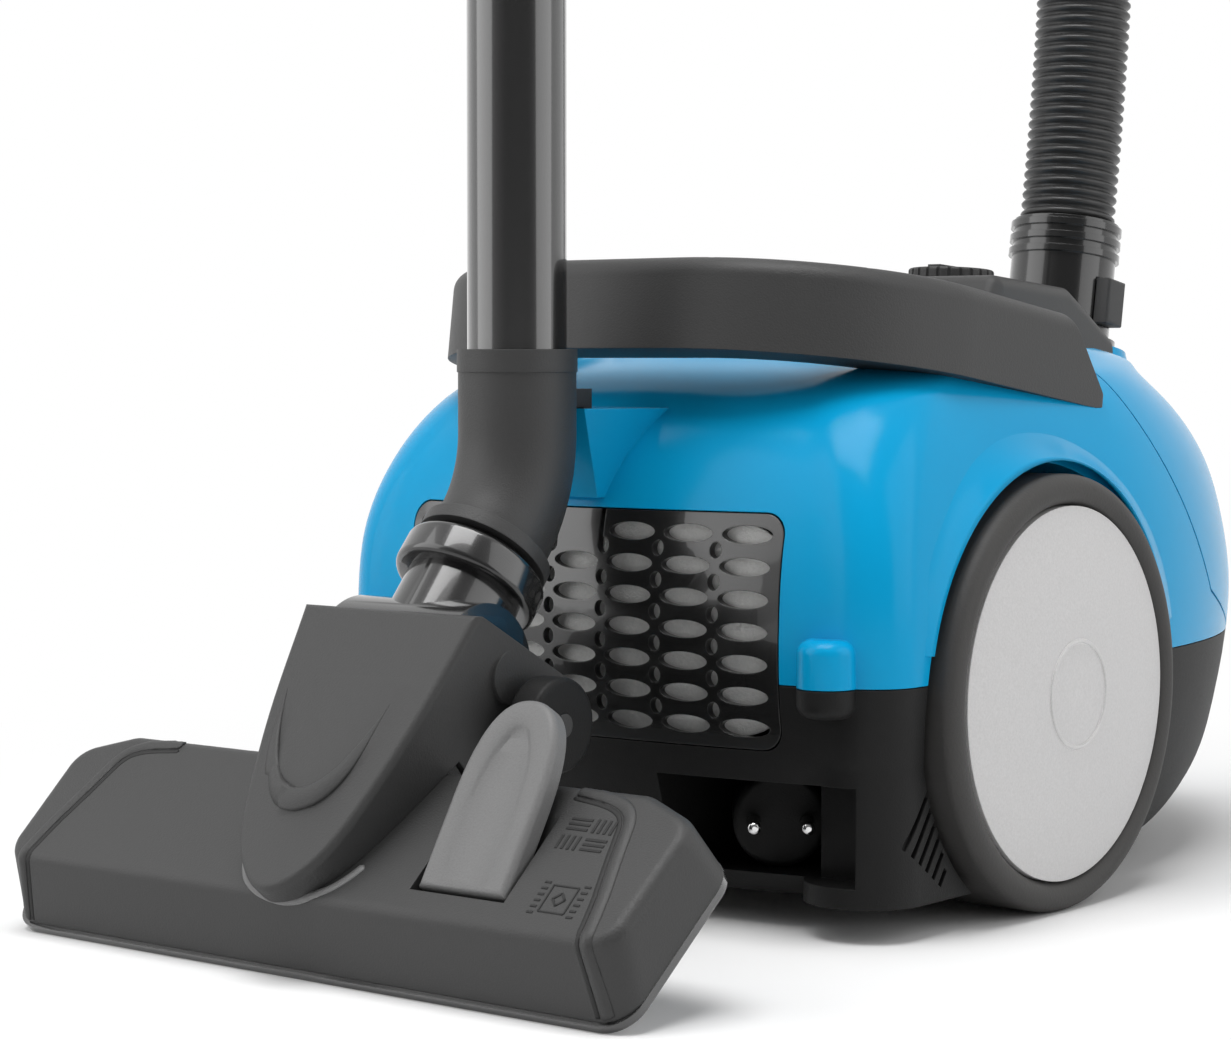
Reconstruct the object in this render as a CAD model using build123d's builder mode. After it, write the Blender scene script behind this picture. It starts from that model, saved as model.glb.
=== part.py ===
"""Canister vacuum cleaner with its wand and floor nozzle parked at the back.

Millimetres.  +X is the right side, +Y points to the nose, +Z is up, and the floor is Z = 0.
Lengths along Y are given from the rear wheel axle, which stands at AXLE_Y in the part's frame.
"""
import os
from math import atan2, cos, degrees, hypot, pi, radians, sin, sqrt, tan

from build123d import *

# Frame
AXLE_Y = 2.0

# Body shell
BODY_HALF_WIDTH = 128.0
BODY_REAR = 110.0
BODY_NOSE = 268.0
NOSE_START = 60.0
REAR_BOW = 10.0
WALL = 3.0
SEAT_GAP = 0.3
BASE_Z = 12.0
SPLIT_Z = 89.0
SPLIT_GAP = 0.4
TOP_Z = 206.0
# Each level: height, inset of the flanks, of the rear, of the nose, and the rear corner radius
LEVELS = [
    (BASE_Z, 22.0, 24.0, 56.0, 30.0),
    (34.0, 9.0, 12.0, 27.0, 26.0),
    (60.0, 3.0, 4.0, 13.0, 22.0),
    (92.0, 0.0, 0.0, 2.0, 20.0),
    (112.0, 0.0, 0.0, 0.0, 20.0),
    (135.0, 1.5, 2.0, 7.0, 20.0),
    (160.0, 6.5, 8.0, 20.0, 25.0),
    (185.0, 16.0, 24.0, 53.0, 31.0),
    (197.0, 25.0, 44.0, 72.0, 37.0),
    (TOP_Z, 38.0, 70.0, 98.0, 40.0),
]

# Rear wheels
WHEEL_R = 80.0
TYRE_INNER_R = 68.6
TYRE_IN_X = 100.0
TYRE_OUT_X = 136.0
DISC_R = 68.4
DISC_DOME = 4.6
DISC_RING_R = 19.4
DISC_RING_T = 0.8
DISC_SKIN = 3.0
WELL_R = 84.0
WELL_X = 95.0
AXLE_R = 6.0
AXLE_OUT_X = 128.0
RUN_CLEARANCE = 0.05
HUB_IN_X = 99.0
TYRE_ROUND = 5.5
DISC_SET_BACK = 1.5

# Caster
CASTER_Y = 178.0
CASTER_TRAIL = 12.0
CASTER_WHEEL_R = 17.0
CASTER_WHEEL_W = 15.0
CASTER_POCKET_R = 34.0
CASTER_ROOF_Z = 46.0
CASTER_STEM_R = 5.0
CASTER_STEM_TOP = 58.0
CASTER_AXLE_R = 3.0
CASTER_CHEEK = 3.0

# Mudguards behind the wheels: the rear corners carried straight down, with slanted louvres on the outside
GUARD_OUT_X = 125.0
GUARD_REAR_Y = -106.0
GUARD_FRONT_Y = -45.0
GUARD_CORNER = 22.0
GUARD_LOW_Z = 12.5
GUARD_TOP_Z = 62.0
LOUVRES = 6
LOUVRE_SLANT = 54.0
LOUVRE_W = 2.2
LOUVRE_DEEP = 2.0
# Lower end of the first louvre and its length, then the change from one louvre to the next
LOUVRE_FOOT = (-92.0, 33.0)
LOUVRE_STEP = (4.2, -3.0)
LOUVRE_LENGTH = 26.0
LOUVRE_SHRINK = 3.9

# Exhaust grille
GRILLE_HALF_W = 86.0
GRILLE_LOW_Z = 66.0
GRILLE_TOP_Z = 148.0
GRILLE_CORNER = 8.0
GRILLE_GAP = 0.5
SLOT_PITCH_X = 24.0
SLOT_PITCH_Z = 11.2
SLOT_HALF_W = 10.0
SLOT_HALF_H = 3.2
DOT_HALF_W = 2.4
DOT_HALF_H = 2.9
SLOT_COLUMNS = 7
SLOT_ROWS = 7
FLEECE = 4.0
LATCH_HALF_W = 11.5
LATCH_LOW_Z = 134.5

# Dust lid
LID_HINGE_Y = 70.0
LID_HINGE_Z = 207.6
LID_GAP = 0.8
LID_KNEE = (140.0, 109.0)
LID_FOOT_Y = 190.0
LID_PIN_R = 2.5
LID_KNUCKLE_R = 5.0
KNUCKLE_X = 18.0
KNUCKLE_W = 18.0
LATCH_Z = 104.0
LATCH_PLATE_W = 40.0
LATCH_PLATE_H = 24.0
LATCH_PLATE_T = 4.0
LATCH_PLAY = 0.6
LATCH_STEM_W = 12.0
LATCH_STEM_H = 8.0
LATCH_REACH = 12.0
LATCH_TRAVEL = 4.0
SEAL_T = 2.6
SEAL_H = 8.0
CAP_SIDE = [(80.0, 190.0), (80.0, 208.0), (97.0, 236.0), (163.0, 232.0), (180.0, 224.0),
            (204.0, 212.0), (204.0, 170.0)]
CAP_HALF_W = 46.0
CAP_FRONT_HALF_W = 36.0
CAP_ROUND = 6.0
CAP_HOLLOW_Y0 = 96.0
CAP_HOLLOW_Y1 = 162.0
CAP_HOLLOW_HALF_W = 35.0
CAP_HOLLOW_H = 22.0
DIAL_Y = 130.0
DIAL_R = 18.0
DIAL_H = 5.0
DIAL_SEAT = 0.4
DIAL_SHAFT_R = 4.0

# Inlet and hose connector
INLET_Y = 212.8
INLET_Z = 187.0
INLET_LEAN = 9.7
BOSS_R = 31.0
BOSS_FOOT_R = 45.0
BOSS_HEIGHT = 20.0
BOSS_DEPTH = 26.0
INLET_BORE_R = 22.0
COLLAR_R = 23.0
COLLAR_TOP = 76.2
COLLAR_BORE_R = 17.0
TAB_REACH = 29.0
TAB_SEAT_X = 20.5
TAB_TRAVEL = 1.5
TAB_PLAY = 0.4
TAB_W = 14.0
TAB_H = 20.0
TAB_Z = 40.0
COLLAR_DEPTH = 22.0
COLLAR_FLANGE_R = 26.0
COLLAR_FLANGE_H = 4.0
COLLAR_RIDGES = 3

# Carry handle
HANDLE_DROP = 7.7
HANDLE_REAR_Y = -111.0
HANDLE_REAR_Z = 205.5
HANDLE_HALF_W = 113.0
HANDLE_BAND = 26.0
HANDLE_LENGTH = 175.0
HANDLE_HEIGHT = 33.5
# Slanted front ends of the arms, in side view
HANDLE_END_LOW = (64.0, 184.4)
HANDLE_END_TOP = (34.0, 224.0)
HANDLE_CORNER = 80.0
HANDLE_ROUND = 7.0

# Top panel and foot pedals
PANEL_REAR_Y = -36.0
PANEL_FRONT_Y = 63.0
PANEL_HALF_W = 60.0
PANEL_CORNER = 14.0
PANEL_T = 6.0
FOOT_X = 29.0
FOOT_Y = 14.0
FOOT_W = 46.0
FOOT_L = 68.0
FOOT_CORNER = 12.0
FOOT_PLAY = 0.6
FOOT_TRAVEL = 4.0
FOOT_TOP_Z = 219.0

# Park socket and hook
SOCKET_TOP_Z = 184.0
SOCKET_LOW_Z = 152.0
SOCKET_FRONT_Y = -128.5
HOOK_TOP_Z = 191.0
HOOK_LOW_Z = 174.0
HOOK_FRONT_Y = -117.0
HOOK_T = 4.5
HOOK_HALF_W = 6.0

# Wand
TUBE_Y = -151.0
TUBE_R = 17.5
TUBE_WALL = 1.0
TUBE_LOW_Z = 170.0
TUBE_TOP_Z = 700.0
INNER_TUBE_R = 15.6
INNER_LOW_Z = 560.0
INNER_TOP_Z = 985.0
SLEEVE_R = 25.0
SLEEVE_LOW_Z = 655.0
SLEEVE_TOP_Z = 735.0
GRIP_LOW_Z = 935.0
GRIP_R = 19.0
GRIP_BEND_R = 90.0
CUFF_LENGTH = 30.0
CUFF_R = 23.0
CUFF_SPIGOT = 8.0
CUFF_SPIGOT_R = 14.5
BUTTON_SEAT = 19.5
BUTTON_TRAVEL = 2.5
BUTTON_T = 6.0
BUTTON_W = 14.0
BUTTON_H = 28.0
BUTTON_Z = 685.0
BUTTON_PLAY = 0.5
BLEED_Z = 952.0
BLEED_W = 16.0
BLEED_H = 20.0
BLEED_T = 3.0

# Elbow and neck
ELBOW_R = 20.8
ELBOW_BORE_R = 16.0
ELBOW_TOP_Z = 205.0
ELBOW_LIP = 8.0
ELBOW_LIP_STEP = 0.4
ELBOW_FLANGE_R = 24.0
ELBOW_FLANGE_T = 5.0
BEND_Z = 156.0
NECK_TILT = 50.0
ELBOW_END = 30.0
ELBOW_BEND_R = 55.0
SPIGOT_R = 17.5
SPIGOT_END = 46.0
RING_R = 26.0
RING_START = 33.0
RING_END = 46.0
NECK_R = 20.4
BARREL_S = 78.0
BARREL_R = 24.0
BARREL_HALF_W = 28.5
TRUNNION_R = 4.0
TRUNNION_X = 34.5
BARREL_GAP = 0.6
NECK_SWING = 15.0
LUG_IN_X = 29.4
LUG_OUT_X = 41.0
LUG_R = 9.0

# Floor nozzle, in its own tilted frame: X across, then depth from the front edge, then height
HEAD_TILT = 41.0
HEAD_FRONT_Y = -262.5
HEAD_HALF_W = 139.0
HEAD_REAR_HALF_W = 118.0
HEAD_DEPTH = 75.0
HEAD_SHOULDER = 64.0
HEAD_FLARE = 3.5
HEAD_H = 26.0
HEAD_LEAN = 12.0
HEAD_DRAW = 1.5
HEAD_SKIN = 2.6
HEAD_CORNER = 12.0
HEAD_ROUND = 5.0
SOLE_T = 3.0
HOOD_TIP = (9.0, 33.5)
HOOD_MOUTH = (112.0, 59.5)
HOOD_WALL = 3.0
HOOD_LOW_N = 9.0
HOOD_DROP = 80.0
HOOD_FLARE = 6.0
HOOD_ROUND = 3.0
# Half widths of the hood's face: at the mouth, and at shares of its length
HOOD_MOUTH_HALF_W = 40.0
HOOD_SIDES = [(0.36, 34.5), (0.7, 26.0), (0.9, 16.5)]
# Raised pad on the face: middle and half length along it, half width, height at its foot, and sloped rim
PAD_BACK = 44.0
PAD_HALF_L = 42.0
PAD_HALF_W = 26.0
PAD_RISE = 2.2
PAD_RIM = 9.0
PAD_TOP_BACK = 26.0
ROLLER_R = 16.0
ROLLER_W = 12.0
ROLLER_U = 104.0
ROLLER_N = 16.6
ROLLER_X = 52.0
ROLLER_AXLE_R = 4.0
ROLLER_STUB_X = 33.5
PEDAL_X = 70.0
PEDAL_HALF_W = 18.0
PEDAL_START = (25.0, 26.0)
PEDAL_END = (89.0, 46.5)
PEDAL_T = 7.0
PEDAL_ROUND = 2.5
PEDAL_SHOULDER = 0.45
PEDAL_PIVOT_U = 52.0
PEDAL_GAP = 1.6
PEDAL_DROP = 3.5
PEDAL_PIVOT_N = 20.5
# Dish in the pedal's face: middle along it, half length, half width, depth at its upper end and sloped rim
DISH_U = 22.0
DISH_HALF_L = 37.0
DISH_HALF_W = 12.5
DISH_DEEP = 1.6
DISH_RIM = 3.0
PEDAL_PIN_R = 2.5
PEDAL_PIN_L = 42.0
PEDAL_LUG_W = 20.0
PEDAL_LUG_L = 10.0
PEDAL_LUG_H = 12.0
WELL_U0 = 20.0
WELL_U1 = 71.0
WELL_N = 12.0
PASSAGE_U = 52.0
PASSAGE_W = 50.0
PASSAGE_L = 24.0
MOUTH_U = 38.0
MOUTH_W = 150.0
MOUTH_L = 18.0
# Each brush strip: its depth and its half length
BRUSHES = [(12.0, 120.0), (63.0, 104.0)]
BRUSH_T = 7.0
BRUSH_GAP = 0.5
BRUSH_LOW_N = 2.0
BRUSH_H = 9.0

# Mains plug
PLUG_TIP = (78.0, -100.0, 37.0)
PLUG_YAW = 37.0
PIN_R = 2.4
PIN_LENGTH = 19.0
PIN_SPACING = 19.0
PIN_ROOT = 6.0
PLUG_R = 17.0
PLUG_LENGTH = 34.0
RECESS_X0 = 33.0
RECESS_X1 = 88.0
RECESS_MOUTH_X1 = 112.0
RECESS_LOW_Z = 19.7
RECESS_TOP_Z = 54.5
RECESS_DEEP_Y = -46.0
RECESS_MOUTH_Y = -90.0

# Inside the body
INNER_FLOOR_Z = BASE_Z + WALL
CHAMBER_Y = 61.0
CHAMBER_T = 3.0
CHAMBER_HALF_W = 90.0
CHAMBER_TOP_Z = 180.0
MOTOR_X = -32.0
MOTOR_Z = 86.0
MOTOR_R = 48.0
MOTOR_L = 100.0
INTAKE_R = 36.0
FILTER_HALF_W = 50.0
FILTER_T = 6.0
ROTOR_SHAFT_R = 5.0
FAN_R = 41.0
FAN_T = 18.0
FAN_SET_BACK = 6.0
ARMATURE_R = 28.0
ARMATURE_L = 40.0
REEL_X0 = 32.0
REEL_X1 = 80.0
REEL_Y = -20.0
REEL_Z = 113.0
REEL_R = 54.0
REEL_DRUM_R = 26.0
REEL_AXLE_R = 6.0
REEL_PLAY = 0.5
BOARD_Z = 197.0
BOARD_T = 2.0
BOARD_HALF_W = 40.0
BOARD_L = 76.0
BAG_REAR_Y = 76.0
BAG_FRONT_Y = 205.0
BAG_HALF_W = 70.0
BAG_CORNER = 30.0
BAG_TOP_Z = 148.0
BAG_MOUTH_Y = 176.0

# Hose: outside radius at the crests, root radius, bore, and the points of its route (Y, Z)
HOSE_R = 21.0
HOSE_ROOT_R = 18.6
HOSE_BORE_R = 16.2
HOSE_RIBS = 150
HOSE_FOOT = COLLAR_TOP + 0.1
HOSE_RISE = HOSE_FOOT + 77
HOSE_ROUTE = [
    (INLET_Y + HOSE_FOOT * sin(radians(INLET_LEAN)), INLET_Z + HOSE_FOOT * cos(radians(INLET_LEAN))),
    (INLET_Y + HOSE_RISE * sin(radians(INLET_LEAN)), INLET_Z + HOSE_RISE * cos(radians(INLET_LEAN))),
    (244, 450), (247, 640), (245, 830), (236, 1020), (172, 1106), (71, 1143), (-34, 1120), (-98, 1054),
]

os.makedirs("parts", exist_ok=True)


def keep(builder, name):
    """Label a finished piece and write it to its own file."""
    builder.part.label = name
    export_step(builder.part, f"parts/{name}.step")


def at(x, y, z):
    """A place given from the wheel axle."""
    return Location((x, AXLE_Y + y, z))


def level(z):
    """Level plane at height z, with its origin over the axle."""
    return Plane((0, AXLE_Y, z))


def side(x):
    """Upright plane facing right: its axes are Y and Z."""
    return Plane((x, AXLE_Y, 0), x_dir=(0, 1, 0), z_dir=(1, 0, 0))


def rear(y):
    """Upright plane facing the rear: its axes are X and Z."""
    return Plane((0, AXLE_Y + y, 0), x_dir=(1, 0, 0), z_dir=(0, -1, 0))


def leaning(y, z, lean):
    """Plane at (0, y, z) whose normal leans forward from upright by lean degrees."""
    turn = radians(lean)
    return Plane((0, AXLE_Y + y, z), x_dir=(1, 0, 0), z_dir=(0, sin(turn), cos(turn)))


INLET = leaning(INLET_Y, INLET_Z, INLET_LEAN)
HANDLE = leaning(HANDLE_REAR_Y, HANDLE_REAR_Z, HANDLE_DROP)
HEAD = leaning(HEAD_FRONT_Y, 0, -HEAD_TILT)
NECK_UP = radians(NECK_TILT)
NECK = Plane((0, AXLE_Y + TUBE_Y, BEND_Z), x_dir=(1, 0, 0), z_dir=(0, -cos(NECK_UP), -sin(NECK_UP)))
DIAL_LEAN = degrees(atan2(CAP_SIDE[2][1] - CAP_SIDE[3][1], CAP_SIDE[3][0] - CAP_SIDE[2][0]))
DIAL_Z = CAP_SIDE[2][1] - (DIAL_Y - CAP_SIDE[2][0]) * tan(radians(DIAL_LEAN))
DIAL = leaning(DIAL_Y, DIAL_Z, DIAL_LEAN)
HOOD_SLOPE = degrees(atan2(HOOD_MOUTH[1] - HOOD_TIP[1], HOOD_MOUTH[0] - HOOD_TIP[0]))
HOOD_LENGTH = hypot(HOOD_MOUTH[0] - HOOD_TIP[0], HOOD_MOUTH[1] - HOOD_TIP[1])
PEDAL_SLOPE = degrees(atan2(PEDAL_END[1] - PEDAL_START[1], PEDAL_END[0] - PEDAL_START[0]))
PEDAL_LENGTH = hypot(PEDAL_END[0] - PEDAL_START[0], PEDAL_END[1] - PEDAL_START[1])
FAR = 700.0


def head_plane(u, n, slope):
    """Plane of the nozzle frame at depth u and height n, tipped up towards the rear by slope."""
    turn = radians(HEAD_TILT)
    y = HEAD_FRONT_Y + u * cos(turn) - n * sin(turn)
    return leaning(y, u * sin(turn) + n * cos(turn), -HEAD_TILT - slope)


def hull(inset):
    """Body form, drawn in by inset: lofted level sections with a bowed rear and an elliptic nose."""
    with BuildPart() as form:
        for z, flank, tail, nose, corner in LEVELS:
            lift = inset if z == BASE_Z else (-inset if z == TOP_Z else 0)
            half = BODY_HALF_WIDTH - flank - inset
            back = -(BODY_REAR - tail - inset)
            tip = BODY_NOSE - nose - inset
            r = corner - inset
            run = half - r
            turn_y = back + r
            slant = r * cos(pi / 4)
            with BuildSketch(level(z + lift)):
                with BuildLine():
                    ThreePointArc((-run, back), (0, back - REAR_BOW), (run, back))
                    ThreePointArc((run, back), (run + slant, turn_y - slant), (half, turn_y))
                    Line((half, turn_y), (half, NOSE_START))
                    EllipticalCenterArc((0, NOSE_START), half, tip - NOSE_START, 0, arc_size=180)
                    Line((-half, NOSE_START), (-half, turn_y))
                    ThreePointArc((-half, turn_y), (-run - slant, turn_y - slant), (-run, back))
                make_face()
        loft()
    return form.part


def lid_side(gap):
    """Side view of all that belongs to the lid, grown by gap towards the housing."""
    knee_y, knee_z = LID_KNEE
    foot = SPLIT_Z + SPLIT_GAP - gap
    return [
        (LID_HINGE_Y - gap, TOP_Z + 60), (LID_HINGE_Y - gap, TOP_Z - 8), (knee_y - gap, knee_z - gap),
        (LID_FOOT_Y - gap, foot), (BODY_NOSE + 40, foot), (BODY_NOSE + 40, TOP_Z + 60),
    ]


def hood_outline(plane, grow):
    """Tongue-shaped outline of the nozzle hood, from its mouth at 0 back to its tip."""
    mouth = HOOD_MOUTH_HALF_W + grow
    right = [(half + grow, -share * HOOD_LENGTH) for share, half in HOOD_SIDES]
    left = [(-x, y) for x, y in reversed(right)]
    with BuildSketch(plane) as tongue:
        with BuildLine():
            Spline((mouth, grow), *right, (0, -HOOD_LENGTH - grow), *left, (-mouth, grow))
            Line((-mouth, grow), (mouth, grow))
        make_face()
    return tongue.sketch


def pedal_outline(plane, grow):
    """Tongue of the rocker pedal: square at the front, round at the raised rear."""
    half = PEDAL_HALF_W + grow
    shoulder = PEDAL_SHOULDER * PEDAL_LENGTH
    with BuildSketch(plane) as tongue:
        with BuildLine():
            Line((-half, -grow), (half, -grow))
            Line((half, -grow), (half, shoulder))
            Spline((half, shoulder), (0, PEDAL_LENGTH + grow), (-half, shoulder), tangents=[(0, 1), (0, -1)])
            Line((-half, shoulder), (-half, -grow))
        make_face()
    return tongue.sketch


# Body form, inside and outside, and the seats for what is let into it
outer = hull(0)
inner = hull(WALL)

with BuildPart() as liners:
    for hand in (1, -1):
        with Locations(at(hand * (WELL_X - WALL + 50), 0, WHEEL_R)):
            Cylinder(WELL_R + WALL, 100, rotation=(0, 90, 0))
    recess_mid = (RECESS_X0 + RECESS_X1) / 2
    recess_z = (RECESS_LOW_Z + RECESS_TOP_Z) / 2
    recess_h = RECESS_TOP_Z - RECESS_LOW_Z
    with Locations(at(recess_mid, RECESS_DEEP_Y + WALL - 60, recess_z)):
        Box(RECESS_X1 - RECESS_X0 + 2 * WALL, 120, recess_h + 2 * WALL)
    with Locations(at(RECESS_MOUTH_X1 - 20 + WALL, RECESS_MOUTH_Y + WALL - 30, recess_z)):
        Box(40, 60, recess_h + 2 * WALL)
    with Locations(at(0, CASTER_Y, (CASTER_ROOF_Z + WALL) / 2)):
        Cylinder(CASTER_POCKET_R + WALL, CASTER_ROOF_Z + WALL)
    with Locations(at(0, CASTER_Y, CASTER_STEM_TOP / 2)):
        Cylinder(2.2 * CASTER_STEM_R, CASTER_STEM_TOP)
    add(outer, mode=Mode.INTERSECT)

with BuildPart() as guards:
    guard_z = (GUARD_LOW_Z + GUARD_TOP_Z) / 2
    guard_h = GUARD_TOP_Z - GUARD_LOW_Z
    turn_y = GUARD_REAR_Y + GUARD_CORNER
    rise = radians(LOUVRE_SLANT)
    for hand in (1, -1):
        with Locations(at(hand * (GUARD_OUT_X - GUARD_CORNER), turn_y, guard_z)):
            Cylinder(GUARD_CORNER, guard_h)
        with Locations(at(hand * (GUARD_OUT_X - GUARD_CORNER / 2), (turn_y + GUARD_FRONT_Y) / 2, guard_z)):
            Box(GUARD_CORNER, GUARD_FRONT_Y - turn_y, guard_h)
        for k in range(LOUVRES):
            reach = (LOUVRE_LENGTH - k * LOUVRE_SHRINK) / 2
            y = LOUVRE_FOOT[0] + k * LOUVRE_STEP[0] + reach * cos(rise)
            z = LOUVRE_FOOT[1] + k * LOUVRE_STEP[1] + reach * sin(rise)
            with Locations(at(hand * GUARD_OUT_X, y, z)):
                Box(2 * LOUVRE_DEEP, 2 * reach, LOUVRE_W, rotation=(LOUVRE_SLANT, 0, 0), mode=Mode.SUBTRACT)

with BuildPart() as casing:
    add(outer)
    add(guards.part)
    add(inner, mode=Mode.SUBTRACT)
    add(liners.part)
    for hand in (1, -1):
        with Locations(at(hand * (WELL_X + 50), 0, WHEEL_R)):
            Cylinder(WELL_R, 100, rotation=(0, 90, 0), mode=Mode.SUBTRACT)
    with Locations(at(recess_mid, RECESS_DEEP_Y - 60, recess_z)):
        Box(RECESS_X1 - RECESS_X0, 120, recess_h, mode=Mode.SUBTRACT)
    with Locations(at(RECESS_MOUTH_X1 - 20, RECESS_MOUTH_Y - 30, recess_z)):
        Box(40, 60, recess_h, mode=Mode.SUBTRACT)
    with Locations(at(0, CASTER_Y, CASTER_ROOF_Z / 2)):
        Cylinder(CASTER_POCKET_R, CASTER_ROOF_Z, mode=Mode.SUBTRACT)
    with Locations(at(0, CASTER_Y, CASTER_STEM_TOP / 2)):
        Cylinder(CASTER_STEM_R + RUN_CLEARANCE, CASTER_STEM_TOP + 10, mode=Mode.SUBTRACT)

# Rear opening shared by the grille and the housings
grille_w = 2 * GRILLE_HALF_W
grille_h = GRILLE_TOP_Z - GRILLE_LOW_Z
grille_z = (GRILLE_TOP_Z + GRILLE_LOW_Z) / 2

with BuildPart() as grille_opening:
    with BuildSketch(rear(-60)):
        with Locations((0, grille_z)):
            RectangleRounded(grille_w + 2 * GRILLE_GAP, grille_h + 2 * GRILLE_GAP, GRILLE_CORNER)
    extrude(amount=90)

# Capsule bumpers at the rear corners, upper half on the upper housing and lower half on the base
BUMPER_X = 104.8
BUMPER_R = 10.5
BUMPER_Y = -111.0
BUMPER_LOW_Z = 79.0
BUMPER_TOP_Z = 106.0

with BuildPart() as bumpers:
    for hand in (1, -1):
        with Locations(at(hand * BUMPER_X, BUMPER_Y, (BUMPER_LOW_Z + BUMPER_TOP_Z) / 2)):
            Cylinder(BUMPER_R, BUMPER_TOP_Z - BUMPER_LOW_Z)
    fillet(bumpers.edges().filter_by(GeomType.CIRCLE), 5)
    add(inner, mode=Mode.SUBTRACT)

# Screws under the base
SCREW_PLACES = [(-62, -70), (62, 100), (-62, 100), (0, -86)]
SCREW_HEAD_R = 4.0
SCREW_HEAD_H = 2.0
SCREW_R = 2.0
SCREW_TAIL = 6.0

with BuildPart() as base_housing:
    add(casing.part)
    add(bumpers.part)
    with Locations(at(0, 0, SPLIT_Z + FAR / 2)):
        Box(FAR, 2 * FAR, FAR, mode=Mode.SUBTRACT)
    add(grille_opening.part, mode=Mode.SUBTRACT)
    for x, y in SCREW_PLACES:
        with Locations(at(x, y, BASE_Z)):
            Cylinder(SCREW_HEAD_R, 2 * SCREW_HEAD_H, mode=Mode.SUBTRACT)
            Cylinder(SCREW_R, 4 * WALL, mode=Mode.SUBTRACT)
keep(base_housing, "base_housing")

with BuildPart() as housing_screws:
    for x, y in SCREW_PLACES:
        with Locations(at(x, y, BASE_Z)):
            Cylinder(SCREW_HEAD_R, SCREW_HEAD_H, align=(Align.CENTER, Align.CENTER, Align.MIN))
            Cylinder(SCREW_R, WALL + SCREW_TAIL, align=(Align.CENTER, Align.CENTER, Align.MIN))
keep(housing_screws, "housing_screws")

# Park socket: a funnel bracket, wide at the top, whose pocket takes the wand's hook
with BuildPart() as park_socket:
    with BuildSketch(level(SOCKET_LOW_Z)):
        Polygon((-14, -98), (-9, SOCKET_FRONT_Y + 11), (9, SOCKET_FRONT_Y + 11), (14, -98), align=None)
    with BuildSketch(level(SOCKET_TOP_Z)):
        Polygon((-33, -76), (-12, SOCKET_FRONT_Y), (12, SOCKET_FRONT_Y), (33, -76), align=None)
    loft(ruled=True)
    add(inner, mode=Mode.SUBTRACT)
    with BuildSketch(level(SOCKET_LOW_Z + 8)):
        Polygon((-7.5, -112.5), (-7.5, -117.5), (7.5, -117.5), (7.5, -112.5), align=None)
    with BuildSketch(level(SOCKET_TOP_Z + 2)):
        Polygon((-10, -99), (-10, SOCKET_FRONT_Y + 2.5), (10, SOCKET_FRONT_Y + 2.5), (10, -99), align=None)
    loft(ruled=True, mode=Mode.SUBTRACT)

with BuildPart() as upper_housing:
    add(casing.part)
    add(bumpers.part)
    with Locations(at(0, 0, SPLIT_Z + SPLIT_GAP - FAR / 2)):
        Box(FAR, 2 * FAR, FAR, mode=Mode.SUBTRACT)
    add(grille_opening.part, mode=Mode.SUBTRACT)
    with BuildSketch(side(-FAR / 2)):
        Polygon(*lid_side(LID_GAP), align=None)
    extrude(amount=FAR, mode=Mode.SUBTRACT)
    add(park_socket.part)
    for hand in (1, -1):
        with Locations(at(hand * (KNUCKLE_X + KNUCKLE_W / 2 + LID_GAP), LID_HINGE_Y, LID_HINGE_Z)):
            Cylinder(LID_KNUCKLE_R, KNUCKLE_W, rotation=(0, 90, 0))
    with Locations(at(0, LID_HINGE_Y, LID_HINGE_Z)):
        Cylinder(LID_KNUCKLE_R + LID_GAP, 2 * KNUCKLE_X + LID_GAP, rotation=(0, 90, 0), mode=Mode.SUBTRACT)
        Cylinder(LID_PIN_R, 3 * FAR / 7, rotation=(0, 90, 0), mode=Mode.SUBTRACT)
keep(upper_housing, "upper_housing")

with BuildPart() as lid_hinge_pin:
    with Locations(at(0, LID_HINGE_Y, LID_HINGE_Z)):
        Cylinder(LID_PIN_R, 2 * (KNUCKLE_X + LID_GAP + KNUCKLE_W), rotation=(0, 90, 0))
keep(lid_hinge_pin, "lid_hinge_pin")

# Dust lid with the hose inlet
with BuildPart() as inlet_boss:
    with Locations(INLET):
        with Locations((0, 0, (BOSS_HEIGHT - BOSS_DEPTH) / 2)):
            Cone(BOSS_FOOT_R, BOSS_R, BOSS_HEIGHT + BOSS_DEPTH)

with BuildPart() as dust_lid:
    add(outer)
    add(inner, mode=Mode.SUBTRACT)
    add(inlet_boss.part)
    with BuildSketch(side(-FAR / 2)):
        Polygon(*lid_side(0), align=None)
    extrude(amount=FAR, mode=Mode.INTERSECT)
    with Locations(INLET):
        Cylinder(INLET_BORE_R, 2 * FAR / 5, mode=Mode.SUBTRACT)
    for hand in (1, -1):
        with Locations(at(hand * (KNUCKLE_X + KNUCKLE_W / 2 + LID_GAP), LID_HINGE_Y, LID_HINGE_Z)):
            Cylinder(LID_KNUCKLE_R + LID_GAP, KNUCKLE_W + LID_GAP, rotation=(0, 90, 0), mode=Mode.SUBTRACT)
    with Locations(at(0, LID_HINGE_Y, LID_HINGE_Z)):
        Cylinder(LID_KNUCKLE_R, 2 * KNUCKLE_X, rotation=(0, 90, 0))
        Cylinder(LID_PIN_R + RUN_CLEARANCE, 2 * KNUCKLE_X + 2, rotation=(0, 90, 0), mode=Mode.SUBTRACT)
    with Locations(at(0, BODY_NOSE - 4, LATCH_Z)):
        Box(LATCH_STEM_W + 2 * LATCH_PLAY, 24, LATCH_STEM_H + LATCH_TRAVEL + 2 * LATCH_PLAY,
            align=(Align.CENTER, Align.CENTER, Align.CENTER), mode=Mode.SUBTRACT)
keep(dust_lid, "dust_lid")

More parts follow.
